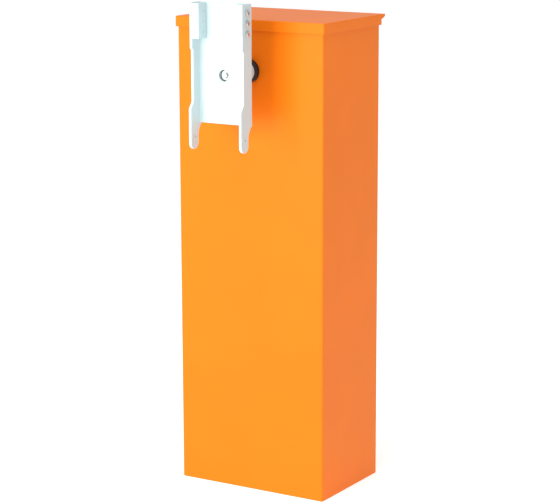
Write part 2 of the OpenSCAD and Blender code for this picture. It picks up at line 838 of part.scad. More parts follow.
// Eyes with threaded shanks and lock nuts, one at each end of the rod
module rod_ends() {
    eye_r = pin_r + 10;
    nut_h = 7;
    color("gray") for (up = [0, 1])
        translate([rod_x, rod_mid_y, rod_lo_z + up * rod_l]) mirror([0, 0, up]) difference() {
            union() {
                y_rod(eye_r, -lever_t / 2, lever_t / 2);
                cylinder(r = rod_thread_r, h = rod_neck + 20);
                translate([0, 0, rod_neck - nut_h]) cylinder(r = 2 * rod_thread_r, h = nut_h, $fn = 6);
            }
            y_rod(pin_r + run_fit, -lever_t, lever_t);
        }
}

// The gearbox output shaft with its crank, parallel to the drive lever
module crank_arm() {
    color("steelblue") translate([0, 0, gear_z]) difference() {
        union() {
            xz_plate(spring_y, gear_y) arm_outline(crank_l, rest_angle, 22, pin_boss_r);
            y_rod(output_r, spring_y, gear_back - 1);
        }
        at_pin(crank_l, rest_angle) y_rod(pin_r + run_fit, spring_y - 1, gear_y + 1);
    }
}

module crank_pin() {
    color("silver") translate([rod_x, 0, rod_lo_z]) {
        y_rod(pin_r, rod_y - 3, gear_y);
        y_rod(pin_r + 3, rod_y - 5, rod_y - 2);
        y_rod(pin_r + 3, gear_y, gear_y + 3);
    }
}

module gearbox_housing() {
    x_lo = -wheel_r - 12;
    x_hi = worm_x + 24;
    wall = 8;
    color("gray") difference() {
        union() {
            span([x_lo, gear_front, gear_lo], [x_hi, gear_back, gear_hi]);
            y_rod(output_r + 12, gear_y + 3.5, gear_front + 1, 0, gear_z);
        }
        y_rod(wheel_r + 3, gear_front + wall, gear_back + 1, 0, gear_z, $fn = 64);
        y_rod(cover_r + 0.1, gear_back - cover_t, gear_back + 1, 0, gear_z, $fn = 64);
        y_rod(output_r + run_fit, gear_y, gear_back, 0, gear_z);
        translate([worm_x, worm_y, gear_lo - 1]) {
            cylinder(r = worm_r + 3, h = gear_hi - gear_lo - 13);
            cylinder(r = motor_shaft_r + run_fit, h = gear_hi - gear_lo - 5);
        }
        at_gear_bolts() y_rod(4.2, gear_back - 16, gear_back + 1);
    }
}

// Places things at the four bolts between the gearbox and its plate
module at_gear_bolts() {
    for (x = [-wheel_r - 4, worm_x + 12], z = [gear_lo + 9, gear_hi - 9]) translate([x, 0, z]) children();
}

module gearbox_cover() {
    color("silver") difference() {
        y_rod(cover_r, gear_back - cover_t, gear_back, 0, gear_z, $fn = 64);
        y_rod(output_r + run_fit, gear_back - cover_t - 1, gear_back + 1, 0, gear_z);
    }
}

module gearbox_bolts() {
    color("silver") at_gear_bolts() translate([0, gear_back + gear_plate_t, 0]) rotate([-90, 0, 0])
        hex_bolt(4, gear_plate_t + 15);
}

// The wheel on the output shaft, its teeth cut straight
module worm_wheel() {
    teeth = 30;
    wheel_w = 24;
    tooth_h = 3;
    color("gold") translate([0, 0, gear_z]) difference() {
        y_rod(wheel_r, worm_y - wheel_w / 2, worm_y + wheel_w / 2, $fn = 64);
        y_rod(output_r + run_fit, worm_y - wheel_w, worm_y + wheel_w);
        for (k = [0 : teeth - 1]) rotate([0, k * 360 / teeth, 0])
            span([-1.8, worm_y - wheel_w, wheel_r - tooth_h], [1.8, worm_y + wheel_w, wheel_r + 1]);
    }
}

// Motor shaft with its rotor below and the worm above
module worm_shaft() {
    worm_l = 46;
    threads = 9;
    thread_pitch = 5;
    thread_steps = [0, 1.5, 2.5, 4];
    root_r = worm_r - 3;
    color("silver") translate([worm_x, worm_y, 0]) {
        translate([0, 0, wheel_z]) cylinder(r = motor_shaft_r, h = gear_hi - 8 - wheel_z);
        translate([0, 0, motor_lo + 10]) cylinder(r = rotor_r, h = motor_l - 34);
        translate([0, 0, gear_z]) rotate_extrude() polygon([[0, -worm_l / 2],
            for (k = [0 : threads - 1], p = [0 : 3])
                [p < 2 ? root_r : worm_r, -worm_l / 2 + thread_pitch * k + thread_steps[p]],
            [root_r, worm_l / 2], [0, worm_l / 2]]);
    }
}

// Stator housing with cooling ribs along it
module motor_body() {
    ribs = 24;
    color("dimgray") translate([worm_x, worm_y, motor_lo]) difference() {
        union() {
            cylinder(r = motor_r - 5, h = motor_l);
            for (k = [0 : ribs - 1]) rotate(k * 360 / ribs)
                translate([motor_r - 7, -1.2, 4]) cube([7, 2.4, motor_l - 16]);
            translate([0, 0, motor_l - 8]) cylinder(r = motor_r, h = 8);
        }
        translate([0, 0, -1]) cylinder(r = rotor_r + 0.6, h = motor_l - 19);
        cylinder(r = motor_shaft_r + run_fit, h = motor_l + 1);
    }
}

module motor_end_cap() {
    color("dimgray") translate([worm_x, worm_y, motor_lo - cap_l]) difference() {
        union() {
            cylinder(r1 = motor_r - 12, r2 = motor_r - 3, h = 9);
            translate([0, 0, 9]) cylinder(r = motor_r - 3, h = cap_l - 9);
        }
        translate([0, 0, 6]) cylinder(r = rotor_r, h = cap_l);
        translate([0, 0, -1]) cylinder(r = motor_shaft_r + run_fit, h = cap_l);
    }
}

// Hand wheel for moving the boom without power
module hand_wheel() {
    rim = 5;
    color("red") translate([worm_x, worm_y, wheel_z + 3]) difference() {
        union() {
            rotate_extrude($fn = 64) translate([wheel_rim_r - rim, rim]) circle(r = rim, $fn = 24);
            cylinder(r = 13, h = 14);
            for (k = [0 : 2]) rotate(120 * k) translate([8, -4, 2]) cube([wheel_rim_r - rim - 8, 8, 6]);
        }
        translate([0, 0, -1]) cylinder(r = motor_shaft_r + run_fit, h = 20);
    }
}

// Places things on the axes of the two balance springs
module at_springs() {
    for (s = [-1, 1]) translate([spring_mid_x + s * coil_dx, coil_y, 0]) children();
}

// A ring of wire that stands in Y and Z, or in X and Z when turned
module wire_ring(wire, turned = 0) {
    rotate([0, 0, turned]) rotate([0, 90, 0]) rotate_extrude($fn = 40) translate([hook_r, 0])
        circle(r = wire, $fn = 24);
}

// The slotted crosshead that the spring lever lifts: its slot takes the pin's sideways travel
module spring_yoke() {
    color("steelblue") {
        translate([spring_mid_x, 0, 0]) xz_plate(yoke_y, yoke_y + lever_t) difference() {
            union() {
                translate([0, spring_pin_z]) round_rect(yoke_slot_l + 18, yoke_slot_h + 18, 8);
                translate([-12, bar_z]) square([24, spring_pin_z - bar_z]);
                translate([0, bar_z]) round_rect(2 * coil_dx + 28, bar_h, 5);
            }
            translate([0, spring_pin_z]) round_rect(yoke_slot_l, yoke_slot_h, yoke_slot_h / 2 - 0.1);
        }
        at_springs() translate([0, 0, top_eye_z]) wire_ring(eye_wire_r);
    }
}

// Close-wound tension springs: the ribbed tube of the coils, an end wire and a hook at each end
module balance_springs() {
    pitch = (coil_hi - coil_lo) / coil_turns;
    core_r = coil_r - wire_d;
    color("silver") at_springs() {
        translate([0, 0, coil_lo]) rotate_extrude() polygon([
            [core_r + 1, 0], for (k = [0 : coil_turns - 1], p = [0, 1])
                [coil_r - (1 - p), (k + p / 2) * pitch],
            [coil_r - 1, coil_hi - coil_lo], [core_r + 1, coil_hi - coil_lo]]);
        for (end = [[coil_lo, coil_lo - hook_r], [coil_hi, coil_hi + hook_r]]) {
            translate([0, 0, end[1]]) wire_ring(wire_d / 2, 90);
            x_rod(wire_d / 2, -coil_r + 2, coil_r - 2, 0, end[0]);
        }
    }
}

module spring_eyebolts() {
    tail = 26;
    nut_h = 7;
    color("silver") at_springs() {
        translate([0, 0, low_eye_z]) wire_ring(eye_wire_r);
        translate([0, 0, chassis_lo - tail])
            cylinder(r = eyebolt_r, h = low_eye_z - hook_r - chassis_lo + tail);
        for (z = [chassis_lo - nut_h, chassis_lo + chassis_t])
            translate([0, 0, z]) cylinder(r = 2 * eyebolt_r, h = nut_h, $fn = 6);
    }
}

// The upright sheet that carries the electrics, with its foot on the base plate
module electrics_plate() {
    foot = 30;
    color("silver") {
        span([-plate_w / 2, plate_y, base_t], [plate_w / 2, plate_back, base_t + plate_h]);
        span([-plate_w / 2, plate_y - foot, base_t], [plate_w / 2, plate_back, base_t + sheet]);
    }
}

module control_box() {
    color("whitesmoke") difference() {
        translate(box_lo) cube(box_size);
        translate(box_lo + [box_t, box_t, box_t])
            cube([box_size[0] - 2 * box_t, box_size[1], box_size[2] - 2 * box_t]);
        for (x = gland_xs) translate([x, gland_y, box_lo[2] - 1]) cylinder(r = gland_r + 0.1, h = box_t + 2);
    }
}

module control_cover() {
    y0 = box_lo[1] + box_size[1];
    color("gainsboro") difference() {
        translate([box_lo[0] - 1, y0, box_lo[2] - 1]) cube([box_size[0] + 2, lid_t, box_size[2] + 2]);
        translate([box_lo[0] + box_t, y0 - 1, box_lo[2] + box_t])
            cube([box_size[0] - 2 * box_t, lid_t - box_t + 1, box_size[2] - 2 * box_t]);
    }
}

// The controller's board with its relays, connector and microcontroller, on four pillars
module circuit_board() {
    y0 = box_lo[1] + box_t;
    pillar = 8;
    board_w = box_size[0] - 24;
    board_h = box_size[2] - 24;
    color("green") translate([box_lo[0] + box_size[0] / 2, y0, box_lo[2] + box_size[2] / 2]) {
        span([-board_w / 2, pillar, -board_h / 2], [board_w / 2, pillar + 1.6, board_h / 2]);
        at_corners(board_w / 2 - 6, board_h / 2 - 6) y_rod(3, 0, pillar + 0.5);
        for (k = [0 : 2]) span([-52 + 22 * k, pillar + 1, 20], [-34 + 22 * k, pillar + 16, 42]);
        span([-55, pillar + 1, -50], [55, pillar + 12, -38]);
        span([16, pillar + 1, -8], [36, pillar + 3.4, 12]);
        for (k = [0, 1]) y_rod(6, pillar + 1, pillar + 20, -40 + 18 * k, -12);
    }
}

module terminal_strip() {
    ways = 12;
    pitch = 9;
    way_w = 8;
    x0 = -55;
    color("gray") for (k = [0 : ways - 1]) translate([x0 + pitch * k, rail_y, rail_z - 22])
        cube([way_w, 34, 44]);
}

module transformer() {
    core = [52, 40, 48];
    foot_t = 3;
    winding_l = 10;
    color("dimgray") translate([supply_x, plate_back, supply_z]) {
        span([-core[0] / 2 - 6, 0, -core[2] / 2 - 12], [core[0] / 2 + 6, foot_t, core[2] / 2 + 12]);
        span([-core[0] / 2, foot_t, -core[2] / 2], [core[0] / 2, foot_t + core[1], core[2] / 2]);
    }
    color("peru") translate([supply_x, plate_back + foot_t + core[1] / 2, supply_z]) for (s = [-1, 1])
        translate([0, 0, (s * core[2] - winding_l) / 2])
            linear_extrude(winding_l) round_rect(core[0] - 14, core[1] - 6, 6);
}

module run_capacitor() {
    can_r = 15;
    can_l = 58;
    color("whitesmoke") translate([supply_x, plate_back + can_r + 2, capacitor_z]) {
        cylinder(r = can_r, h = can_l);
        span([-can_r - 4, -can_r - 2, 6], [can_r + 4, 2 - can_r, can_l - 6]);
        span([-can_r / 2, 1 - can_r, 6], [can_r / 2, 0, can_l - 6]);
        translate([0, 0, can_l]) cylinder(r = can_r / 3, h = 8);
    }
}

module din_rail() {
    rail_l = 236;
    color("silver") {
        span([-rail_l / 2, plate_back, rail_z - 13.5], [rail_l / 2, rail_y - 1, rail_z + 13.5]);
        span([-rail_l / 2, rail_y - 1.5, rail_z - 17.5], [rail_l / 2, rail_y, rail_z + 17.5]);
    }
}

// Mains breaker on the rail, with the slot that its toggle swings in
module breaker() {
    body_d = 44;
    nose_d = toggle_y - rail_y + 4;
    color("whitesmoke") translate([toggle_x, rail_y, rail_z]) difference() {
        union() {
            span([-18, 0, -42], [18, body_d, 42]);
            span([-18, body_d - 1, -22], [18, nose_d, 22]);
        }
        span([-toggle_w / 2 - 0.5, body_d - 4, -16], [toggle_w / 2 + 0.5, nose_d + 1, 16]);
    }
    color("whitesmoke") x_rod(toggle_pin_r, toggle_x - toggle_w / 2 - 1.5, toggle_x + toggle_w / 2 + 1.5,
        toggle_y, rail_z);
}

module breaker_toggle() {
    w = toggle_w;
    color("black") translate([toggle_x, toggle_y, rail_z]) difference() {
        union() {
            x_rod(8, -w / 2, w / 2);
            rotate([toggle_angle, 0, 0]) span([-w / 2, -3, 0], [w / 2, 3, 22]);
        }
        x_rod(toggle_pin_r + run_fit, -toggle_w, toggle_w);
    }
}

module cable_glands() {
    color([0.15, 0.15, 0.15]) for (x = gland_xs) translate([x, gland_y, box_lo[2]]) difference() {
        union() {
            translate([0, 0, -6]) cylinder(r = gland_r + 3, h = 6, $fn = 6);
            translate([0, 0, -6.5]) cylinder(r = gland_r, h = 14);
            translate([0, 0, -18]) cylinder(r1 = gland_r - 1.5, r2 = gland_r + 1.5, h = 12, $fn = 48);
        }
        translate([0, 0, -19]) cylinder(r = 4, h = 40);
    }
}

cabinet_shell();
lid();
base_plate();
door_seal();
hinge_frame_leaves();
hinge_pins();
chassis();
stud_nuts();
rear_bearing_plate();
gearbox_plate();
front_bearing_housing();
rear_bearing_housing();
bearing_outer_rings();
bearing_balls();
bearing_bolts();
shaft_collar();
stop_posts();
stop_buffers();
gearbox_housing();
gearbox_cover();
gearbox_bolts();
motor_body();
motor_end_cap();
spring_eyebolts();
limit_switches();
electrics_plate();
control_box();
control_cover();
circuit_board();
terminal_strip();
transformer();
run_capacitor();
din_rail();
breaker();
cable_glands();
main_shaft();
bearing_inner_rings();
hub_tube();
bracket_web();
bracket_flanges();
clamp_jaws();
clamp_screws();
centre_bolt();
drive_lever();
spring_lever();
lever_pins();
limit_cams();
connecting_rod();
rod_ends();
crank_arm();
crank_pin();
worm_wheel();
worm_shaft();
hand_wheel();
spring_yoke();
balance_springs();
door();
door_lock_body();
lock_cam();
breaker_toggle();
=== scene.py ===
# %% [markdown]
# # A parking barrier gate, finished around its CAD frame
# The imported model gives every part's place and every joint. This lesson builds the parts that show again
# as smooth surfaces, gives each a finish made of shader nodes, and lights the gate in a plain pale
# studio. Everything is in metres, +Z is up, and the boom side faces -Y.

# %% Load the frame
import json
import math
import bpy
import bmesh
import numpy as np
from mathutils import Matrix, Vector


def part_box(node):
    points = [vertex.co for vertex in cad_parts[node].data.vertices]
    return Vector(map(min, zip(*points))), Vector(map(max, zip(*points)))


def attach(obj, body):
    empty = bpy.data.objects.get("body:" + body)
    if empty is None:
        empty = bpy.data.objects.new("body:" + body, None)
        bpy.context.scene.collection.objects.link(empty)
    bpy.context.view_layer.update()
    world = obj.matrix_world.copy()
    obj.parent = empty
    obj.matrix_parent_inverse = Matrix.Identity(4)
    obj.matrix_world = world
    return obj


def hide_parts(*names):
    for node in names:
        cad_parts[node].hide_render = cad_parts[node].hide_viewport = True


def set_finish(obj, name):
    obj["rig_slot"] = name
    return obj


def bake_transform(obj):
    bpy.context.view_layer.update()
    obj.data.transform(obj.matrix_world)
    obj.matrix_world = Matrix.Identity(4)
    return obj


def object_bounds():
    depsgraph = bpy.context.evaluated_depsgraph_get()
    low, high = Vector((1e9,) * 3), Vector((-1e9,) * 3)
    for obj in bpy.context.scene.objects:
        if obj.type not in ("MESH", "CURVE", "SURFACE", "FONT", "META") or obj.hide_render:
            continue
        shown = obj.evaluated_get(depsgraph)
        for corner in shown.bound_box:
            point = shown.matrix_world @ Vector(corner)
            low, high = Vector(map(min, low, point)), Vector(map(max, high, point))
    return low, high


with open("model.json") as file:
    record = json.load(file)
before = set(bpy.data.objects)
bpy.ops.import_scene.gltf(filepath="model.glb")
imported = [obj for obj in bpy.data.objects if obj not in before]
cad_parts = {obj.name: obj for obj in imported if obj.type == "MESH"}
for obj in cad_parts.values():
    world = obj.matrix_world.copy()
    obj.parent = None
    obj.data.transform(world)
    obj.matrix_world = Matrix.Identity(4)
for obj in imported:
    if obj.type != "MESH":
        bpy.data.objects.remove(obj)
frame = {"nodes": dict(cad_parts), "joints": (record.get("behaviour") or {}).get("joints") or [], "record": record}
cad_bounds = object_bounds()
MM = 0.001
JOINTS = {joint["name"]: joint for joint in frame["joints"]}
SLOTS = {row["node"]: row["material_slot"] for row in frame["record"]["subparts"]}
MEMBERS = frame["record"]["behaviour"]["bodies"]
BODY_OF = {node: body for body, nodes in MEMBERS.items() for node in nodes}

# %% [markdown]
# ## Corners of the CAD parts
# Most places are read from the boxes of the CAD nodes, as two arrays: the lowest and the highest corner.
# Only what a box can't tell, such as a stud's place on its sheet, is given as a number where it is used.

# %% Read a box as arrays
def corners(node):
    low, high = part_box(node)
    return np.array(low), np.array(high)


shell_lo, shell_hi = corners("cabinet_shell")
lid_lo, lid_hi = corners("lid")
shaft = np.array(JOINTS["boom_turn"]["pos_m"])
print("cabinet", (shell_hi - shell_lo).round(3), "shaft at z", round(shaft[2], 3))

# %% [markdown]
# ## Surfaces from arrays
# A surface here is a grid of points: row i, column j. Neighbouring points are joined by four-sided faces,
# and a grid may close on itself along its rows or columns. One function turns any such grid into a mesh,
# so each piece only has to say where its points are.

# %% Turn a grid of points into a mesh
def show(name, mesh, sharp=35):
    """Puts a mesh in the scene. Edges over the sharp angle stay crisp, and a big flat face
    keeps its own normal."""
    mesh.shade_smooth()
    mesh.set_sharp_from_angle(angle=math.radians(sharp))
    piece = bpy.data.objects.new(name, mesh)
    bpy.context.scene.collection.objects.link(piece)
    flat = piece.modifiers.new("flat_faces_stay_flat", "WEIGHTED_NORMAL")
    flat.keep_sharp = True
    return piece


def join_grid(rows, cols, close_rows, close_cols):
    """Corner numbers of each face: point (i, j) with its neighbours (i+1, j), (i+1, j+1) and (i, j+1)."""
    i = np.arange(rows if close_rows else rows - 1)[:, None]
    j = np.arange(cols if close_cols else cols - 1)[None, :]
    down, right = (i + 1) % rows, (j + 1) % cols
    numbers = np.broadcast_arrays(i * cols + j, down * cols + j, down * cols + right, i * cols + right)
    return np.stack(numbers, -1).reshape(-1, 4)


def build(name, grids, caps=(), sharp=35, weld=1e-6):
    """One mesh from several grids, each (points, close_rows, close_cols). A cap is a loop closed
    by one face."""
    points, faces, start = [], [], 0
    for grid, close_rows, close_cols in grids:
        rows, cols = grid.shape[:2]
        points.append(grid.reshape(-1, 3))
        faces += (join_grid(rows, cols, close_rows, close_cols) + start).tolist()
        start += rows * cols
    for loop in caps:
        points.append(loop)
        faces.append((np.arange(len(loop)) + start).tolist())
        start += len(loop)
    mesh = bpy.data.meshes.new(name)
    mesh.from_pydata(np.concatenate(points).tolist(), [], faces)
    tidy = bmesh.new()
    tidy.from_mesh(mesh)
    bmesh.ops.remove_doubles(tidy, verts=tidy.verts, dist=weld)
    bmesh.ops.dissolve_degenerate(tidy, edges=tidy.edges, dist=weld)
    bmesh.ops.recalc_face_normals(tidy, faces=tidy.faces)
    tidy.to_mesh(mesh)
    tidy.free()
    return show(name, mesh, sharp)


# %% [markdown]
# ## Outlines
# Most of the gate is folded sheet, turned bar or sawn plate, and each of those starts as a flat outline.
# The helpers below round the corners of an outline, move an outline outwards, and make circles and
# rounded rectangles.

# %% Outline helpers
def arc(cx, cy, radius, start, stop, steps):
    """Points at (cx + r cos a, cy + r sin a) for evenly spaced angles a, in degrees."""
    angle = np.radians(np.linspace(start, stop, steps))
    return np.stack([cx + radius * np.cos(angle), cy + radius * np.sin(angle)], -1)


def circle(radius, steps=64):
    return arc(0, 0, radius, 0, 360 * (1 - 1 / steps), steps)


def round_rectangle(width, height, radius, steps=6):
    """Four quarter circles, one in each corner, joined by straight sides, counter-clockwise."""
    w, h = width / 2 - radius, height / 2 - radius
    quarters = [(w, h, 0), (-w, h, 90), (-w, -h, 180), (w, -h, 270)]
    return np.concatenate([arc(x, y, radius, a, a + 90, steps) for x, y, a in quarters])


def rounded(points, radius, closed=True, steps=5):
    """Each corner becomes a curve that leaves one side and joins the next:
    (1-t)^2 a + 2t(1-t) p + t^2 b."""
    points = np.asarray(points, float)
    before, after = np.roll(points, 1, 0), np.roll(points, -1, 0)
    to_a, to_b = before - points, after - points
    len_a, len_b = np.linalg.norm(to_a, axis=1), np.linalg.norm(to_b, axis=1)
    reach = np.minimum(radius, 0.45 * np.minimum(len_a, len_b))[:, None]
    a = points + to_a / len_a[:, None] * reach
    b = points + to_b / len_b[:, None] * reach
    t = np.linspace(0, 1, steps)[None, :, None]
    curve = (1 - t) ** 2 * a[:, None] + 2 * t * (1 - t) * points[:, None] + t ** 2 * b[:, None]
    if not closed:
        return np.concatenate([points[:1], curve[1:-1].reshape(-1, 2), points[-1:]])
    return curve.reshape(-1, 2)


def offset(loop, distance, closed=True):
    """Each point moves along the mean normal of its two sides, stretched so that the sides
    keep their distance."""
    ahead = np.roll(loop, -1, 0) - loop
    if not closed:
        ahead[-1] = ahead[-2]
    ahead /= np.maximum(np.linalg.norm(ahead, axis=1, keepdims=True), 1e-12)
    back = np.roll(ahead, 1, 0)
    if not closed:
        back[0] = ahead[0]
    normal = np.stack([ahead[:, 1] + back[:, 1], -ahead[:, 0] - back[:, 0]], -1)
    normal /= np.maximum(np.linalg.norm(normal, axis=1, keepdims=True), 1e-12)
    stretch = np.maximum((normal * np.stack([ahead[:, 1], -ahead[:, 0]], -1)).sum(1, keepdims=True), 0.35)
    return loop + normal * distance / stretch


# %% [markdown]
# An outline drawn flat has to be stood up in the gate. AXES says which two directions of the gate the
# outline's own two directions are, and which one it is carried along.

# %% Stand outlines up in the gate
AXES = {"x": (1, 2, 0), "y": (0, 2, 1), "z": (0, 1, 2)}


def stand(loop, level, axis):
    """The flat loop (a, b) at one level along the axis, as points (x, y, z)."""
    first, second, along = AXES[axis]
    out = np.empty((len(loop), 3))
    out[:, first], out[:, second], out[:, along] = loop[:, 0], loop[:, 1], level
    return out


def bevel_steps(low, high, edge, steps=4):
    """Levels and insets that round both rims of a plate:
    inset = edge (1 - sin a), depth = edge (1 - cos a)."""
    angle = np.linspace(0, math.pi / 2, steps)
    depth, inset = edge * (1 - np.cos(angle)), edge * (1 - np.sin(angle))
    return list(zip(low + depth, inset)) + list(zip(high - depth[::-1], inset[::-1]))


def plate(name, outline, low, high, axis, edge=0.0006, at=(0, 0), bore=None, sharp=35):
    """A flat outline carried from low to high with rounded rims; with a bore it closes
    through the hole instead."""
    at = np.asarray(at, float)
    steps = bevel_steps(low, high, edge)
    rings = [stand(offset(outline, -inset) + at, level, axis) for level, inset in steps]
    if bore is None:
        return build(name, [(np.array(rings), False, True)], caps=[rings[0], rings[-1]], sharp=sharp)
    angle = np.arctan2(outline[:, 1], outline[:, 0])
    hole = np.stack([np.cos(angle), np.sin(angle)], -1)
    rings += [stand(hole * (bore + inset) + at, level, axis) for level, inset in steps[::-1]]
    return build(name, [(np.array(rings), True, True)], sharp=sharp)


def lathe(name, profile, axis, at, steps=64, sharp=35, closed=False):
    """A profile of (level, radius) turned round an axis through the point at:
    (r cos a, r sin a) at each level."""
    first, second, along = AXES[axis]
    profile = np.asarray(profile, float)
    turn = circle(1, steps)
    grid = np.empty((len(profile), steps, 3))
    grid[:, :, first] = at[first] + profile[:, 1:2] * turn[None, :, 0]
    grid[:, :, second] = at[second] + profile[:, 1:2] * turn[None, :, 1]
    grid[:, :, along] = profile[:, 0:1]
    return build(name, [(grid, closed, True)], sharp=sharp)


def block(name, low, high, edge=0.001, axis="z", corner=None):
    """A box with rounded upright corners and rounded rims."""
    low, high = np.asarray(low, float), np.asarray(high, float)
    first, second, along = AXES[axis]
    size, mid = high - low, (high + low) / 2
    corner = edge if corner is None else corner
    outline = round_rectangle(size[first], size[second], max(corner, edge * 1.01), 4)
    return plate(name, outline, low[along], high[along], axis, edge, (mid[first], mid[second]))


def folded_sheet(name, path, thickness, low, high, axis, bend, edge=0.0004):
    """A line drawn in plan, its corners rounded to the bend, thickened by half a sheet each
    way, carried straight."""
    line = rounded(path, bend, closed=False, steps=7)
    loop = np.concatenate([offset(line, thickness / 2, False), offset(line, -thickness / 2, False)[::-1]])
    return plate(name, loop, low, high, axis, edge)


def tube(name, path, radius, steps=12, guide=(0, 0, 1)):
    """A round wire along a path: point + r (side cos a + up sin a). The guide, never along the path,
    fixes the side."""
    path = np.asarray(path, float)
    ahead = np.gradient(path, axis=0)
    ahead /= np.linalg.norm(ahead, axis=1, keepdims=True)
    side = np.cross(ahead, guide)
    side /= np.linalg.norm(side, axis=1, keepdims=True)
    up = np.cross(side, ahead)
    turn = circle(radius, steps)
    grid = path[:, None] + side[:, None] * turn[None, :, :1] + up[:, None] * turn[None, :, 1:]
    return build(name, [(grid, False, True)], caps=[grid[0], grid[-1]], sharp=60)


# %% [markdown]
# ## Shader maths as plain expressions
# A Wire is one output socket in a material's node tree. Adding or multiplying wires writes the Math
# nodes, so a pattern reads like a formula. Everything else goes through one method, `add`, which sets a
# node up and connects it.

# %% Wires and the Finish class
class Wire:
    def __init__(self, finish, socket):
        self.finish, self.socket = finish, socket

    def maths(self, operation, first, second=0.0):
        return self.finish.add("ShaderNodeMath", {"operation": operation}, {0: first, 1: second})

    def __add__(self, other):
        return self.maths("ADD", self, other)

    def __radd__(self, other):
        return self.maths("ADD", other, self)

    def __sub__(self, other):
        return self.maths("SUBTRACT", self, other)

    def __rsub__(self, other):
        return self.maths("SUBTRACT", other, self)

    def __mul__(self, other):
        return self.maths("MULTIPLY", self, other)

    def __rmul__(self, other):
        return self.maths("MULTIPLY", other, self)

class Finish:
    """One material: a Principled shader whose patterns are built from Object coordinates."""

    def __init__(self, name, **constants):
        self.material = bpy.data.materials.new(name)
        self.material.use_nodes = True
        self.tree = self.material.node_tree
        self.shader = self.tree.nodes["Principled BSDF"]
        self.place = self.add("ShaderNodeTexCoord", out="Object")
        for name_, value in constants.items():
            self.shader.inputs[name_.replace("_", " ")].default_value = value

    def add(self, kind, settings=(), sockets=(), out=0):
        node = self.tree.nodes.new(kind)
        for key, value in dict(settings).items():
            setattr(node, key, value)
        for key, value in dict(sockets).items():
            if isinstance(value, Wire):
                self.tree.links.new(value.socket, node.inputs[key])
            else:
                node.inputs[key].default_value = value
        return Wire(self, node.outputs[out])

    def noise(self, size, detail=2.0, rough=0.5, stretch=(1, 1, 1)):
        """Noise from 0 to 1 whose blotches are about `size` metres across, longer along a
        stretched axis."""
        place = self.place
        if stretch != (1, 1, 1):
            place = self.add("ShaderNodeMapping", (), {"Vector": place, "Scale": [1 / s for s in stretch]})
        sockets = {"Vector": place, "Scale": 1 / size, "Detail": detail, "Roughness": rough}
        return self.add("ShaderNodeTexNoise", (), sockets)

    def between(self, low, high, amount):
        """A colour from low to high by amount."""
        sockets = {0: amount, 6: (*low, 1.0), 7: (*high, 1.0)}
        return self.add("ShaderNodeMix", {"data_type": "RGBA"}, sockets, 2)

    def range(self, value, low, high, to_low=0.0, to_high=1.0):
        """value from low..high to to_low..to_high, held at both ends."""
        sockets = {"Value": value, "From Min": low, "From Max": high, "To Min": to_low, "To Max": to_high}
        return self.add("ShaderNodeMapRange", {"clamp": True}, sockets)

    def bump(self, height, depth, strength=1.0):
        """Tilts the shading as if the surface stood up by height x depth metres."""
        return self.add("ShaderNodeBump", (), {"Height": height, "Distance": depth, "Strength": strength})

    def set(self, **sockets):
        names = {"colour": "Base Color", "roughness": "Roughness", "normal": "Normal",
                 "metallic": "Metallic"}
        for key, value in sockets.items():
            socket = self.shader.inputs[names[key]]
            if isinstance(value, Wire):
                self.tree.links.new(value.socket, socket)
            else:
                socket.default_value = value
        return self.material


# %% [markdown]
# ## Powder coat
# Powder paint is sprayed on dry and melted in an oven. It flows into a skin with a fine "orange peel":
# low waves two or three millimetres apart. The peel is noise through a Bump node, and a slower noise
# shifts colour and gloss a little, as thickness does on a real panel. The sheet under it is never quite
# flat either, so a wave a hand wide bends the reflections.

# %% Paint finishes
def powder(name, colour, gloss, peel=0.0025, panel=0.0, shift=0.03, shine=0.5):
    f = Finish(name, IOR=1.5, Specular_IOR_Level=shine)
    slow, peel_wave = f.noise(0.16, 2.0), f.noise(peel, 2.0, 0.45)
    specks = f.range(f.noise(0.0011, 1.0), 0.72, 0.80)
    deep = [c * (1 - shift) for c in colour]
    light = [min(1.0, c * (1 + shift)) for c in colour]
    tint = f.between(deep, light, f.range(slow + specks * 0.25, 0.3, 0.75))
    roughness = gloss + 0.05 * slow + 0.03 * f.noise(0.02, 3.0)
    normal = f.bump(peel_wave + f.noise(0.35, 1.0) * panel, 0.00008, 0.55)
    return f.set(colour=tint, roughness=roughness, normal=normal)


ORANGE = (0.92, 0.196, 0.004)
WHITE = (0.60, 0.725, 0.74)
paint = {
    "orange_powder": powder("orange_powder_coat", ORANGE, 0.32, panel=4.0, shine=0.14),
    "white_powder": powder("white_powder_coat", WHITE, 0.40, peel=0.0018, shift=0.012, shine=0.35),
    "blue_enamel": powder("blue_enamel", (0.035, 0.085, 0.19), 0.34, peel=0.0016, shift=0.08),
    "grey_enamel": powder("grey_enamel", (0.115, 0.13, 0.145), 0.42, peel=0.0016, shift=0.06),
}
print("paints:", ", ".join(paint))

# %% [markdown]
# ## Bare metals
# Zinc plating is blotchy at the scale of a fingertip and finely grained. Ground steel keeps the marks of
# the wheel: scratches that run round the bar, so the noise is squeezed along the bar's axis and long
# across it. Castings are pebbled by the sand or the die.

# %% Metal finishes
def plated(name, colour, rough):
    f = Finish(name, Metallic=1.0)
    blotch, grain = f.noise(0.009, 4.0, 0.6), f.noise(0.0012, 2.0)
    cool = [c * 0.86 for c in colour]
    tint = f.between(cool, colour, f.range(blotch, 0.32, 0.68))
    roughness = rough + 0.16 * blotch + 0.05 * grain
    return f.set(colour=tint, roughness=roughness, normal=f.bump(grain, 0.00003, 0.5))


def ground(name, colour, rough, stretch=(1, 0.02, 1)):
    f = Finish(name, Metallic=1.0)
    marks, blotch = f.noise(0.02, 5.0, 0.7, stretch), f.noise(0.03, 2.0)
    tint = f.between([c * 0.82 for c in colour], colour, f.range(marks, 0.3, 0.7))
    roughness = rough + 0.14 * marks + 0.06 * blotch
    return f.set(colour=tint, roughness=roughness, normal=f.bump(marks, 0.00002, 0.4))


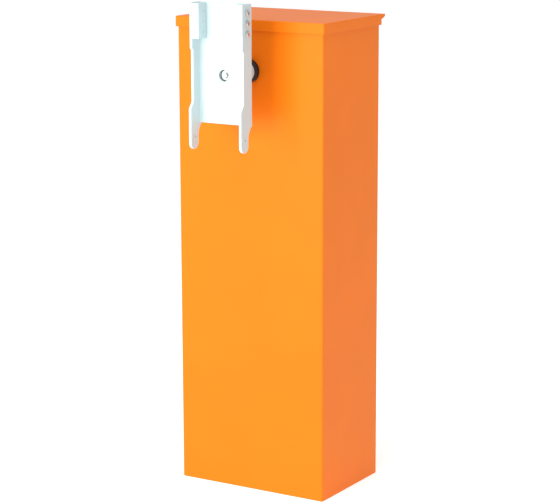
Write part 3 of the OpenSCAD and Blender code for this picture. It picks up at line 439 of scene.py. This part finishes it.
def casting(name, colour, rough, pebble, metallic):
    f = Finish(name)
    skin, blotch = f.noise(pebble, 3.0, 0.6), f.noise(0.04, 2.0)
    tint = f.between([c * 0.8 for c in colour], colour, f.range(blotch + skin * 0.4, 0.45, 0.95))
    return f.set(colour=tint, roughness=rough + 0.12 * skin, metallic=metallic,
                 normal=f.bump(skin, 0.00018, 0.6))


metal = {
    "zinc_steel": plated("zinc_plate", (0.68, 0.69, 0.70), 0.22),
    "ground_steel": ground("ground_steel", (0.60, 0.60, 0.61), 0.20),
    "bronze": ground("bronze", (0.68, 0.43, 0.17), 0.24, (1, 0.05, 1)),
    "cast_metal": casting("cast_iron_paint", (0.075, 0.08, 0.088), 0.46, 0.0022, 0.0),
    "motor_alloy": casting("die_cast_alloy", (0.46, 0.47, 0.49), 0.36, 0.0014, 0.9),
}
print("metals:", ", ".join(metal))

# %% [markdown]
# ## Rubber, plastics and the board
# Moulded plastic carries the fine spark texture of its tool. Rubber is darker and duller, with dust in
# its grain. The board's lacquer shows its copper tracks as faint lines, drawn by two Wave textures.

# %% Soft finishes
def moulded(name, colour, rough, grain=0.0006, depth=0.00003, shift=0.06):
    f = Finish(name, IOR=1.46)
    skin, slow = f.noise(grain, 2.0), f.noise(0.05, 2.0)
    tint = f.between([c * (1 - shift) for c in colour], colour, f.range(slow, 0.3, 0.7))
    return f.set(colour=tint, roughness=rough + 0.1 * slow + 0.06 * skin, normal=f.bump(skin, depth, 0.6))


def lacquered_board(name):
    f = Finish(name, IOR=1.5, Coat_Weight=0.6, Coat_Roughness=0.12)
    waves = [f.add("ShaderNodeTexWave", {"bands_direction": axis},
                   {"Vector": f.place, "Scale": scale, "Distortion": 3.5, "Detail Scale": 0.35}, 1)
             for axis, scale in (("X", 90.0), ("Z", 70.0))]
    tracks = f.range(waves[0] + waves[1], 1.45, 1.6)
    tint = f.between((0.006, 0.075, 0.028), (0.02, 0.17, 0.06), tracks)
    return f.set(colour=tint, roughness=0.34 - 0.1 * tracks, normal=f.bump(tracks, 0.00004, 0.5))


soft = {
    "black_rubber": moulded("black_rubber", (0.018, 0.018, 0.019), 0.55, 0.0011, 0.00005, 0.3),
    "black_plastic": moulded("black_plastic", (0.022, 0.023, 0.025), 0.36),
    "grey_plastic": moulded("grey_plastic", (0.50, 0.51, 0.505), 0.38),
    "red_plastic": moulded("red_plastic", (0.50, 0.022, 0.016), 0.26),
    "board_green": lacquered_board("board_green"),
}
FINISH = {**paint, **metal, **soft}
print("finishes:", len(FINISH))


def coat(piece, slot=None):
    """Gives a piece the finish of its material slot."""
    piece.data.materials.clear()
    piece.data.materials.append(FINISH[slot or piece["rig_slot"]])
    return piece


# %% [markdown]
# ## One piece out of several
# A welded or moulded part is one thing, so its surfaces are joined into one object. Then it is told which
# CAD node it stands for: from that come the body it rides on and the material slot.

# %% Join, place and register a piece
def merge(name, pieces):
    mesh = bpy.data.meshes.new(name)
    whole = bmesh.new()
    for piece in pieces:
        whole.from_mesh(piece.data)
    whole.to_mesh(mesh)
    whole.free()
    for piece in pieces:
        bpy.data.objects.remove(piece)
    return show(name, mesh)


def softened(name, node, rim, steps=2):
    """A copy of a CAD node with its loose triangles merged and every sharp edge rounded over a rim
    of that width."""
    mesh = bpy.data.meshes.new(name)
    copy = bmesh.new()
    copy.from_mesh(frame["nodes"][node].data)
    bmesh.ops.remove_doubles(copy, verts=copy.verts, dist=2e-6)
    bmesh.ops.dissolve_limit(copy, angle_limit=math.radians(0.2), verts=copy.verts, edges=copy.edges)
    bmesh.ops.recalc_face_normals(copy, faces=copy.faces)
    copy.to_mesh(mesh)
    copy.free()
    piece = show(name, mesh)
    bevel = piece.modifiers.new("rim", "BEVEL")
    bevel.width, bevel.segments, bevel.limit_method = rim, steps, "ANGLE"
    bevel.angle_limit = math.radians(38)
    bevel.use_clamp_overlap = True
    piece.modifiers.move(1, 0)
    return piece


def bored(piece, *drills):
    """Takes each drill's shape out of the piece, for good."""
    for drill in drills:
        cut = piece.modifiers.new("bore", "BOOLEAN")
        cut.operation, cut.object, cut.solver = "DIFFERENCE", drill, "EXACT"
        piece.modifiers.move(len(piece.modifiers) - 1, 0)
    shaped = bpy.data.meshes.new_from_object(piece.evaluated_get(bpy.context.evaluated_depsgraph_get()))
    name = piece.name
    for used in (piece, *drills):
        bpy.data.objects.remove(used)
    return show(name, shaped)


def stands_for(piece, *nodes, body=None, slot=None):
    """The piece rides with the nodes' body, hides them, and takes the finish of their material slot."""
    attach(piece, body or BODY_OF[nodes[0]])
    if nodes:
        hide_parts(*nodes)
    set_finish(piece, slot or SLOTS[nodes[0]])
    return coat(piece)


# %% [markdown]
# ## The cabinet shell
# The real shell is one sheet, 2 mm thick, folded in a press: front, two sides, and at the back two narrow
# jambs whose ends step inwards to make a ledge that the door's seal lies on. A path drawn in plan,
# thickened and carried upwards, is that sheet. A press leaves a small radius at each fold, which is what
# catches the light.

# %% Fold the shell
SHEET = 2 * MM
half = SHEET / 2
side_x, front_y, rear_y = shell_hi[0] - half, shell_lo[1] + half, shell_hi[1] - half
seal_lo, seal_hi = corners("door_seal")
open_x, ledge_y = seal_hi[0] + 1.5 * MM, seal_lo[1] - half
sill_z, head_z = seal_lo[2] - 1.5 * MM, seal_hi[2] + 1.5 * MM
LEDGE, HALF_FLANGE, SHAFT_HOLE, THROUGH = 12 * MM, 13 * MM, 21.5 * MM, 10 * MM
wrap = [(open_x - LEDGE, ledge_y), (open_x + half, ledge_y), (open_x + half, rear_y), (side_x, rear_y),
        (side_x, front_y)]
wrap += [(-x, y) for x, y in wrap[::-1]]
skin = folded_sheet("skin", wrap, SHEET, shell_lo[2], shell_hi[2], "z", 3 * MM)
rails = []
ends = ((shell_lo[2], sill_z - half, sill_z + LEDGE), (shell_hi[2], head_z + half, head_z - LEDGE))
for foot, turn, lip in ends:
    bend = [(rear_y, foot), (rear_y, turn), (ledge_y, turn), (ledge_y, lip)]
    rails.append(folded_sheet("rail", bend, SHEET, -open_x - half, open_x + half, "x", 3 * MM))
flanges = []
for side in (-1, 1):
    flange_x = side * side_x - HALF_FLANGE * side
    flanges.append(block("flange", (flange_x - HALF_FLANGE, front_y, shell_hi[2] - SHEET),
                         (flange_x + HALF_FLANGE, rear_y, shell_hi[2]), 0.4 * MM))
before, behind = shell_lo[1] - THROUGH, shell_lo[1] + THROUGH
drill = lathe("drill", [(before, 0), (before, SHAFT_HOLE), (behind, SHAFT_HOLE), (behind, 0)], "y", shaft)
cabinet = stands_for(merge("cabinet", [bored(skin, drill), *rails, *flanges]), "cabinet_shell")
print("cabinet:", len(cabinet.data.polygons), "faces")

# %% [markdown]
# ## The lid
# The lid is a shallow pan turned upside down. Its walls stand 2 mm off the cabinet so that rain drips
# clear, and a wedge along the back keeps the rain off the door. One rounded rectangle, moved inwards as
# it goes up over the edge and down again inside, makes the pan in one closed skin.

# %% Press the lid
def inner_rectangle(size, corner, inset):
    """The rounded rectangle whose sides lie `inset` inside the first one's; its corners tighten
    by as much."""
    return round_rectangle(size[0] - 2 * inset, size[1] - 2 * inset, max(corner - inset, 0.3 * MM), 8)


def pan(name, low, high, level_out, level_in, corner, fold, thickness, axis, lip=0.0):
    """An open pan: loops of a rounded rectangle at (inset, level) pairs, from the outer face round the rim
    to the inner. The fold's arc is inset = fold (1 - sin a), level = fold (1 - cos a). With a lip, the rim
    turns inwards by that much."""
    away = 1 if level_out > level_in else -1
    mid, size = (low + high) / 2, high - low
    angle = np.linspace(0, math.pi / 2, 6)
    steps = [(fold * (1 - math.sin(a)), level_out - away * fold * (1 - math.cos(a))) for a in angle]
    hem = level_in + away * thickness
    if lip:
        steps += [(fold * (1 - math.cos(a)), level_in + away * fold * (1 - math.sin(a))) for a in angle]
        steps += [(lip - 0.3 * MM, level_in), (lip, level_in + away * 0.3 * MM),
                  (lip, hem - away * 0.3 * MM),
                  (lip - 0.3 * MM, hem), (thickness, hem)]
    else:
        steps += [(0.0, level_in + away * 0.7 * MM), (0.3 * MM, level_in), (thickness - 0.3 * MM, level_in),
                  (thickness, level_in + away * 0.7 * MM)]
    steps += [(thickness, level_out - away * thickness)]
    rings = [stand(inner_rectangle(size, corner, inset) + mid, level, axis) for inset, level in steps]
    return build(name, [(np.array(rings), False, True)], caps=[rings[0], rings[-1]])


lip_y = shell_hi[1] + 2 * MM + SHEET
wedge = [(lip_y - MM, lid_hi[2] - 10 * MM), (lip_y, lid_hi[2] - 10 * MM), (lid_hi[1], lid_hi[2] - 5.5 * MM),
         (lid_hi[1], lid_hi[2]), (lip_y - MM, lid_hi[2])]
pan_lo, pan_hi = np.array([lid_lo[0], lid_lo[1]]), np.array([lid_hi[0], lip_y])
RIM = 22 * MM
lid = merge("lid_pan", [
    pan("pan", pan_lo, pan_hi, lid_hi[2], lid_hi[2] - RIM, 3.2 * MM, 2.2 * MM, SHEET, "z"),
    plate("wedge", rounded(wedge, 0.8 * MM), lid_lo[0], lid_hi[0], "x", 0.8 * MM)])
stands_for(lid, "lid")
print("lid:", len(lid.data.polygons), "faces")

# %% [markdown]
# ## Weld studs
# Threaded studs are welded inside the sheet, so nothing shows outside: six hold the chassis, four hold
# the lid. The profile goes in and out once per thread pitch, which is enough to read as a thread.

# %% Weld the studs
def stud(foot, length, size, pitch, axis):
    """A threaded rod from foot: its radius drops by 0.3 pitch halfway through every pitch of its length."""
    turns = int(length / pitch) - 1
    axis_at = "xyz".index(axis)
    away = math.copysign(1, length)
    steps = np.arange(2 * abs(turns) + 1)
    level = foot[axis_at] + away * (0.5 * pitch + steps * pitch / 2)
    radius = size - 0.3 * pitch * (steps % 2)
    end = foot[axis_at] + length
    profile = [(foot[axis_at], 0), (foot[axis_at], size), *zip(level, radius),
               (end, size - 0.3 * pitch), (end, 0)]
    return lathe("stud", profile if away > 0 else profile[::-1], axis, foot, 24)


CHASSIS_STUD_X, CHASSIS_STUD_Z = (-0.108, 0.108), (0.475, 0.745, 0.965)
LID_STUD_X, LID_STUD_Y = (-0.160, 0.160), (-0.0855, 0.0755)
weld_studs = [stud(np.array([x, shell_lo[1] + SHEET, z]), 15 * MM, 4 * MM, 1.25 * MM, "y")
              for x in CHASSIS_STUD_X for z in CHASSIS_STUD_Z]
weld_studs += [stud(np.array([x, y, lid_hi[2] - SHEET]), -14 * MM, 3 * MM, 1.0 * MM, "z")
               for x in LID_STUD_X for y in LID_STUD_Y]
stands_for(merge("weld_studs", weld_studs), body="cabinet", slot="zinc_steel")
print("weld studs:", len(weld_studs))

# %% [markdown]
# ## The rear door
# The door is the same kind of pan standing up, with its rim turned in once more so that the edge is stiff
# and can't cut a hand. It hangs on two lift-off hinges and closes on a soft rubber frame.

# %% Press the door and lay its seal
door_lo, door_hi = corners("door")
door_y = shell_hi[1]
door_inner = door_y - 14 * MM
face_lo = np.array([-door_hi[0], door_lo[2]])
face_hi = np.array([door_hi[0], door_hi[2]])
door = pan("door_pan", face_lo, face_hi, door_y, door_inner, 2.2 * MM, 2 * MM, SHEET, "y", lip=12 * MM)
stands_for(door, "door")


def loop_of(profile, low, high, corner):
    """A profile of (inset, level) carried round a rounded rectangle: each loop is the rectangle moved in
    by the inset."""
    middle = (low + high) / 2
    rings = [stand(inner_rectangle(high - low, corner, inset) + middle, level, "y")
             for inset, level in profile]
    return build("loop", [(np.array(rings), True, True)], sharp=50)


width, depth = 7 * MM, seal_hi[1] - seal_lo[1]
low_side, shoulder = seal_lo[1] + 0.35 * depth, seal_lo[1] + 0.8 * depth
bulb = [(0.0, seal_lo[1]), (0.2 * MM, low_side), (1.4 * MM, shoulder), (width / 2, seal_hi[1]),
        (width - 1.4 * MM, shoulder), (width - 0.2 * MM, low_side), (width, seal_lo[1])]
seal = loop_of(bulb, np.array([seal_lo[0], seal_lo[2]]), np.array([seal_hi[0], seal_hi[2]]), 9 * MM)
seal.name = "seal_frame"
stands_for(seal, "door_seal")
print("door and seal:", len(door.data.polygons) + len(seal.data.polygons), "faces")

# %% [markdown]
# ## Hinges
# A hinge knuckle is a strip of steel rolled round a pin. Each leaf and its roll are drawn as one outline
# in plan: flat out along the door, round the pin and back. Three such rolls stack on one pin, the middle
# one on the door.

# %% Roll the hinges
frame_leaf_lo, frame_leaf_hi = corners("hinge_frame_leaves")
hinge = np.array(JOINTS["door_swing"]["pos_m"])
ROLL, LEAF, LEAF_WIDE = 4.5 * MM, 2 * MM, 17 * MM
PIN_REACH, KNUCKLE_PITCH, HALF_BRIDGE = 36.3 * MM, 24.3 * MM, 13 * MM


def leaf(name, z0, z1, side):
    """Outline: a three-quarter roll of radius r about the pin, then the flat leaf, 2 mm thick,
    on its own side."""
    roll = arc(0, 0, ROLL, -90, 180, 40)
    flat = [(-ROLL, -ROLL + LEAF), (-LEAF_WIDE, -ROLL + LEAF), (-LEAF_WIDE, -ROLL)]
    outline = np.concatenate([roll, flat]) * (-side, 1)
    return plate(name, outline[::-side] if side > 0 else outline, z0, z1, "z", 0.4 * MM, hinge[:2])


middles = [frame_leaf_lo[2] + PIN_REACH, frame_leaf_hi[2] - PIN_REACH]
knuckle = 24 * MM
on_frame = [leaf("leaf", z + k - knuckle / 2, z + k + knuckle / 2, -1)
            for z in middles for k in (-KNUCKLE_PITCH, KNUCKLE_PITCH)]
on_frame += [block("bridge", (hinge[0] - LEAF_WIDE, door_y, z - HALF_BRIDGE),
                   (hinge[0] - ROLL - 2 * MM, door_y + LEAF, z + HALF_BRIDGE), 0.4 * MM) for z in middles]
stands_for(merge("hinge_leaves_on_frame", on_frame), "hinge_frame_leaves")
door_leaves = [leaf("leaf", z - knuckle / 2, z + knuckle / 2, 1) for z in middles]
stands_for(merge("hinge_leaves_on_door", door_leaves), body="door", slot="zinc_steel")
pins = []
for z in middles:
    low, high = z - PIN_REACH, z + PIN_REACH
    profile = [(low, 0), (low, 2 * MM), (low + 0.5 * MM, 2.5 * MM), (high, 2.5 * MM), (high, 4 * MM),
               (high + 1.2 * MM, 4 * MM), (high + 2 * MM, 2.6 * MM), (high + 2 * MM, 0)]
    pins.append(lathe("pin", profile, "z", hinge, 32))
stands_for(merge("pins_of_hinges", pins), "hinge_pins")
print("hinges at z", [round(z, 3) for z in middles])

# %% [markdown]
# ## Collar, hub and bracket
# Where the shaft comes out, a moulded rubber collar keeps rain off the bearing. In front of it a painted
# tube carries the bracket. Both are turned shapes: a short list of (level, radius) pairs spun round the
# shaft's axis. The bracket itself is cut from plate. Its outline is the CAD part's own, and paint rounds
# every edge of it.

# %% Turn the collar and the hub
def curve(level, radius, size, start, stop, steps=6):
    """A quarter round on a profile: (level + r cos a, radius + r sin a)."""
    return arc(level, radius, size, start, stop, steps).tolist()


collar_lo, collar_hi = corners("shaft_collar")
bore = (corners("main_shaft")[1][0]) + 0.3 * MM
outer = collar_hi[0]
NOSE, CHAMFER = 2.5 * MM, 1.2 * MM
collar = [(collar_hi[1], bore), (collar_hi[1], outer),
          *curve(collar_lo[1] + NOSE, outer - NOSE, NOSE, 90, 180),
          (collar_lo[1], bore + 2.4 * MM), (collar_lo[1] + CHAMFER, bore + CHAMFER),
          (collar_lo[1] + 1.6 * MM, bore)]
stands_for(lathe("rain_collar", collar, "y", shaft, 96, closed=True), "shaft_collar")

hub_lo, hub_hi = corners("hub_tube")
hub_r, disc_r, RECESS = 21 * MM, hub_hi[0], 12 * MM
weld = hub_lo[1] + 8 * MM
FILLET, SEAT = 5 * MM, 3 * MM
tube_profile = [(hub_hi[1], bore), (hub_hi[1], hub_r - CHAMFER),
                *curve(hub_hi[1] - CHAMFER, hub_r - CHAMFER, CHAMFER, 90, 0)[::-1], (weld + FILLET, hub_r),
                *curve(weld + FILLET, hub_r + FILLET, FILLET, 270, 180)[1:],
                *curve(weld - CHAMFER, disc_r - CHAMFER, CHAMFER, 0, 90), (hub_lo[1], disc_r),
                (hub_lo[1], RECESS), (hub_lo[1] + SEAT, RECESS), (hub_lo[1] + SEAT, bore)]
stands_for(lathe("hub", tube_profile, "y", shaft, 96, closed=True), "hub_tube")
RIMS = {"bracket_web": 0.8, "bracket_flanges": 1.0, "clamp_jaws": 0.9, "clamp_screws": 0.35,
        "centre_bolt": 0.3}
for node, rim in RIMS.items():
    stands_for(softened(node + "_painted", node, rim * MM, 3), node)
print("boom side:", 2 + len(RIMS), "pieces")

# %% [markdown]
# ## Balance springs
# Two tension springs pull on the yoke and carry most of the boom's weight. They are close-wound: each
# turn lies on the last, and the wire is bent across the end and out into a hook. The helix is one
# formula; the wire is a circle carried along it. Each spring is wound once, at its resting length,
# and stays as it is.

# %% Wind the springs
spring_lo, spring_hi = corners("balance_springs")
WIRE, COIL, HOOK = 2.5 * MM, 14.5 * MM, 7 * MM


def spring_path(low, high, turns, per_turn=22):
    """Helix: (R cos a, R sin a, low + a pitch / 360); then a bar across the end, and a hook:
    (h cos b, 0, end + h + h sin b)."""
    angle = np.linspace(0, 360 * turns, int(turns * per_turn) + 1)
    coil = np.stack([COIL * np.cos(np.radians(angle)), COIL * np.sin(np.radians(angle)),
                     low + (high - low) * angle / (360 * turns)], -1)
    swing = np.linspace(0, 1, 12)[1:, None]
    cross = (1 - swing) ** 2 * [COIL, 0, 0] + 2 * swing * (1 - swing) * np.array([COIL, COIL * 0.7, 0])
    hook_angle = np.radians(np.linspace(-90, -410, 30))[1:]
    hook = np.stack([HOOK * np.cos(hook_angle), 0 * hook_angle, HOOK + HOOK * np.sin(hook_angle)], -1)
    end = np.concatenate([cross, hook])
    turned = np.concatenate([swing, np.ones((len(hook), 1))]) * [0, 1, -1] + [0, 0, 1]
    top, bottom = end + [0, 0, high], (end * [1, -1, -1])[::-1] + [0, 0, low]
    guide = np.concatenate([(turned * [1, -1, 1])[::-1], coil * 0 + [0, 0, 1], turned])
    return np.concatenate([bottom, coil, top]), guide


hook_reach = HOOK + WIRE
coil_low, coil_high = spring_lo[2] + HOOK + hook_reach, spring_hi[2] - HOOK - hook_reach
spring_y = (spring_lo[1] + spring_hi[1]) / 2
spring_xs = [spring_lo[0] + 17 * MM, spring_hi[0] - 17 * MM]
turns = round((coil_high - coil_low) / (2 * WIRE))
wire_path, wire_guide = spring_path(coil_low, coil_high, turns)
coils = [tube("spring", wire_path + [x, spring_y, 0], WIRE, 10, wire_guide) for x in spring_xs]
springs = merge("springs", coils)
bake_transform(springs)
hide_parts("balance_springs")
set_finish(springs, SLOTS["balance_springs"])
coat(springs)
print("springs:", turns, "turns each,", len(springs.data.polygons), "faces")

# %% [markdown]
# ## Everything else that is metal or moulded
# The parts inside keep their CAD shapes. Real edges are never razor sharp, so each one gets a rim: wide
# on castings, about a millimetre on mouldings, and narrow on machined parts.

# %% Soften the parts inside
CAST, CUT, MOULD, FINE = 1.6, 0.5, 0.9, 0.3
INSIDE = {
    "base_plate": CUT, "chassis": CUT, "rear_bearing_plate": CUT, "gearbox_plate": CUT,
    "electrics_plate": FINE, "front_bearing_housing": CAST, "rear_bearing_housing": CAST,
    "gearbox_housing": CAST * 1.2, "gearbox_cover": MOULD, "stud_nuts": FINE, "bearing_bolts": FINE,
    "gearbox_bolts": FINE, "stop_posts": FINE, "stop_buffers": MOULD, "motor_body": FINE,
    "motor_end_cap": CAST, "spring_eyebolts": FINE, "limit_switches": CUT, "control_box": MOULD,
    "control_cover": CAST, "circuit_board": FINE, "terminal_strip": CUT, "transformer": CUT,
    "run_capacitor": MOULD, "din_rail": FINE, "breaker": MOULD, "cable_glands": CUT, "main_shaft": CUT,
    "drive_lever": MOULD, "spring_lever": MOULD, "lever_pins": CUT, "limit_cams": FINE,
    "connecting_rod": CUT, "rod_ends": CUT, "crank_arm": MOULD, "crank_pin": CUT, "worm_wheel": FINE,
    "worm_shaft": FINE, "hand_wheel": MOULD, "spring_yoke": MOULD, "door_lock_body": CUT,
    "lock_cam": CUT, "breaker_toggle": MOULD,
}
for node, rim in INSIDE.items():
    stands_for(softened(node + "_part", node, rim * MM), node)
for node, item in frame["nodes"].items():
    if not item.hide_render:
        item.data.materials.clear()
        item.data.materials.append(FINISH[SLOTS[node]])
        print("kept as it is:", node)
print("inside:", len(INSIDE), "pieces")

# %% [markdown]
# ## Studio, light and camera
# The studio is as plain as can be: a white room that lights everything evenly, a white floor, and a large
# soft lamp ahead of the boom side, so that the front is clearly brighter than the side. A second lamp
# overhead puts the thin shadow under the lid's rim. The room looks fully white, but it lights the gate a
# third less, so that the paint keeps its depth. The view transform is Standard, because paint this bright
# should reach its full colour.

# %% Floor and lights
def studio_floor():
    f = Finish("studio_floor")
    shade = f.noise(0.5, 2.0)
    f.shader.inputs["Emission Strength"].default_value = 1.0
    glow = f.between((0.5, 0.5, 0.5), (0.52, 0.52, 0.52), shade)
    f.tree.links.new(glow.socket, f.shader.inputs["Emission Color"])
    return f.set(colour=f.between((0.86, 0.86, 0.86), (0.88, 0.88, 0.88), shade), roughness=0.9)


REACH, ROOM = 14.0, 0.58
ground_points = np.array([[[x, y, -0.0002] for y in (-REACH, REACH)] for x in (-REACH, REACH)])
floor = build("floor", [(ground_points, False, False)])
floor.data.materials.append(studio_floor())

scene = bpy.context.scene
scene.view_settings.view_transform = "Standard"
world = bpy.data.worlds.new("white_room")
world.use_nodes = True
background = world.node_tree.nodes["Background"]
background.inputs["Color"].default_value = (1.0, 1.0, 1.0, 1.0)
seen = world.node_tree.nodes.new("ShaderNodeLightPath")
level = world.node_tree.nodes.new("ShaderNodeMapRange")
level.inputs["To Min"].default_value = ROOM
world.node_tree.links.new(seen.outputs["Is Camera Ray"], level.inputs["Value"])
world.node_tree.links.new(level.outputs["Result"], background.inputs["Strength"])
scene.world = world


def lamp(name, place, aim, size, power):
    """A square soft lamp at a place, turned towards a point."""
    light = bpy.data.lights.new(name, "AREA")
    light.size, light.energy = size, power
    holder = bpy.data.objects.new(name, light)
    holder.location = place
    holder.rotation_euler = (Vector(place) - Vector(aim)).to_track_quat("Z", "Y").to_euler()
    scene.collection.objects.link(holder)
    return holder


gate_lo, gate_hi = cad_bounds
middle = (gate_lo + gate_hi) / 2
lamp("key", (-0.7, -4.35, 1.5), middle, 2.6, 146)
lamp("overhead", (0.2, -0.8, 3.4), middle, 1.6, 28)
print("floor and lights ready")

# %% Camera
AZIMUTH, ELEVATION, CAMERA_ROLL = math.radians(31.30), math.radians(11.80), math.radians(-0.14)
DISTANCE, TARGET = 4.3683, Vector((0.0013, 0.0, 0.4950))
back = Vector((math.sin(AZIMUTH) * math.cos(ELEVATION), -math.cos(AZIMUTH) * math.cos(ELEVATION),
               math.sin(ELEVATION)))
lens = bpy.data.cameras.new("camera")
lens.lens, lens.sensor_width = 131.51, 36.0
camera = bpy.data.objects.new("camera", lens)
facing = (-back).to_track_quat("-Z", "Y").to_matrix().to_4x4()
turned = Matrix.Rotation(CAMERA_ROLL, 4, "Z")
camera.matrix_world = Matrix.Translation(TARGET + back * DISTANCE) @ facing @ turned
scene.collection.objects.link(camera)
scene.camera = camera
print("camera at", [round(x, 3) for x in camera.location])
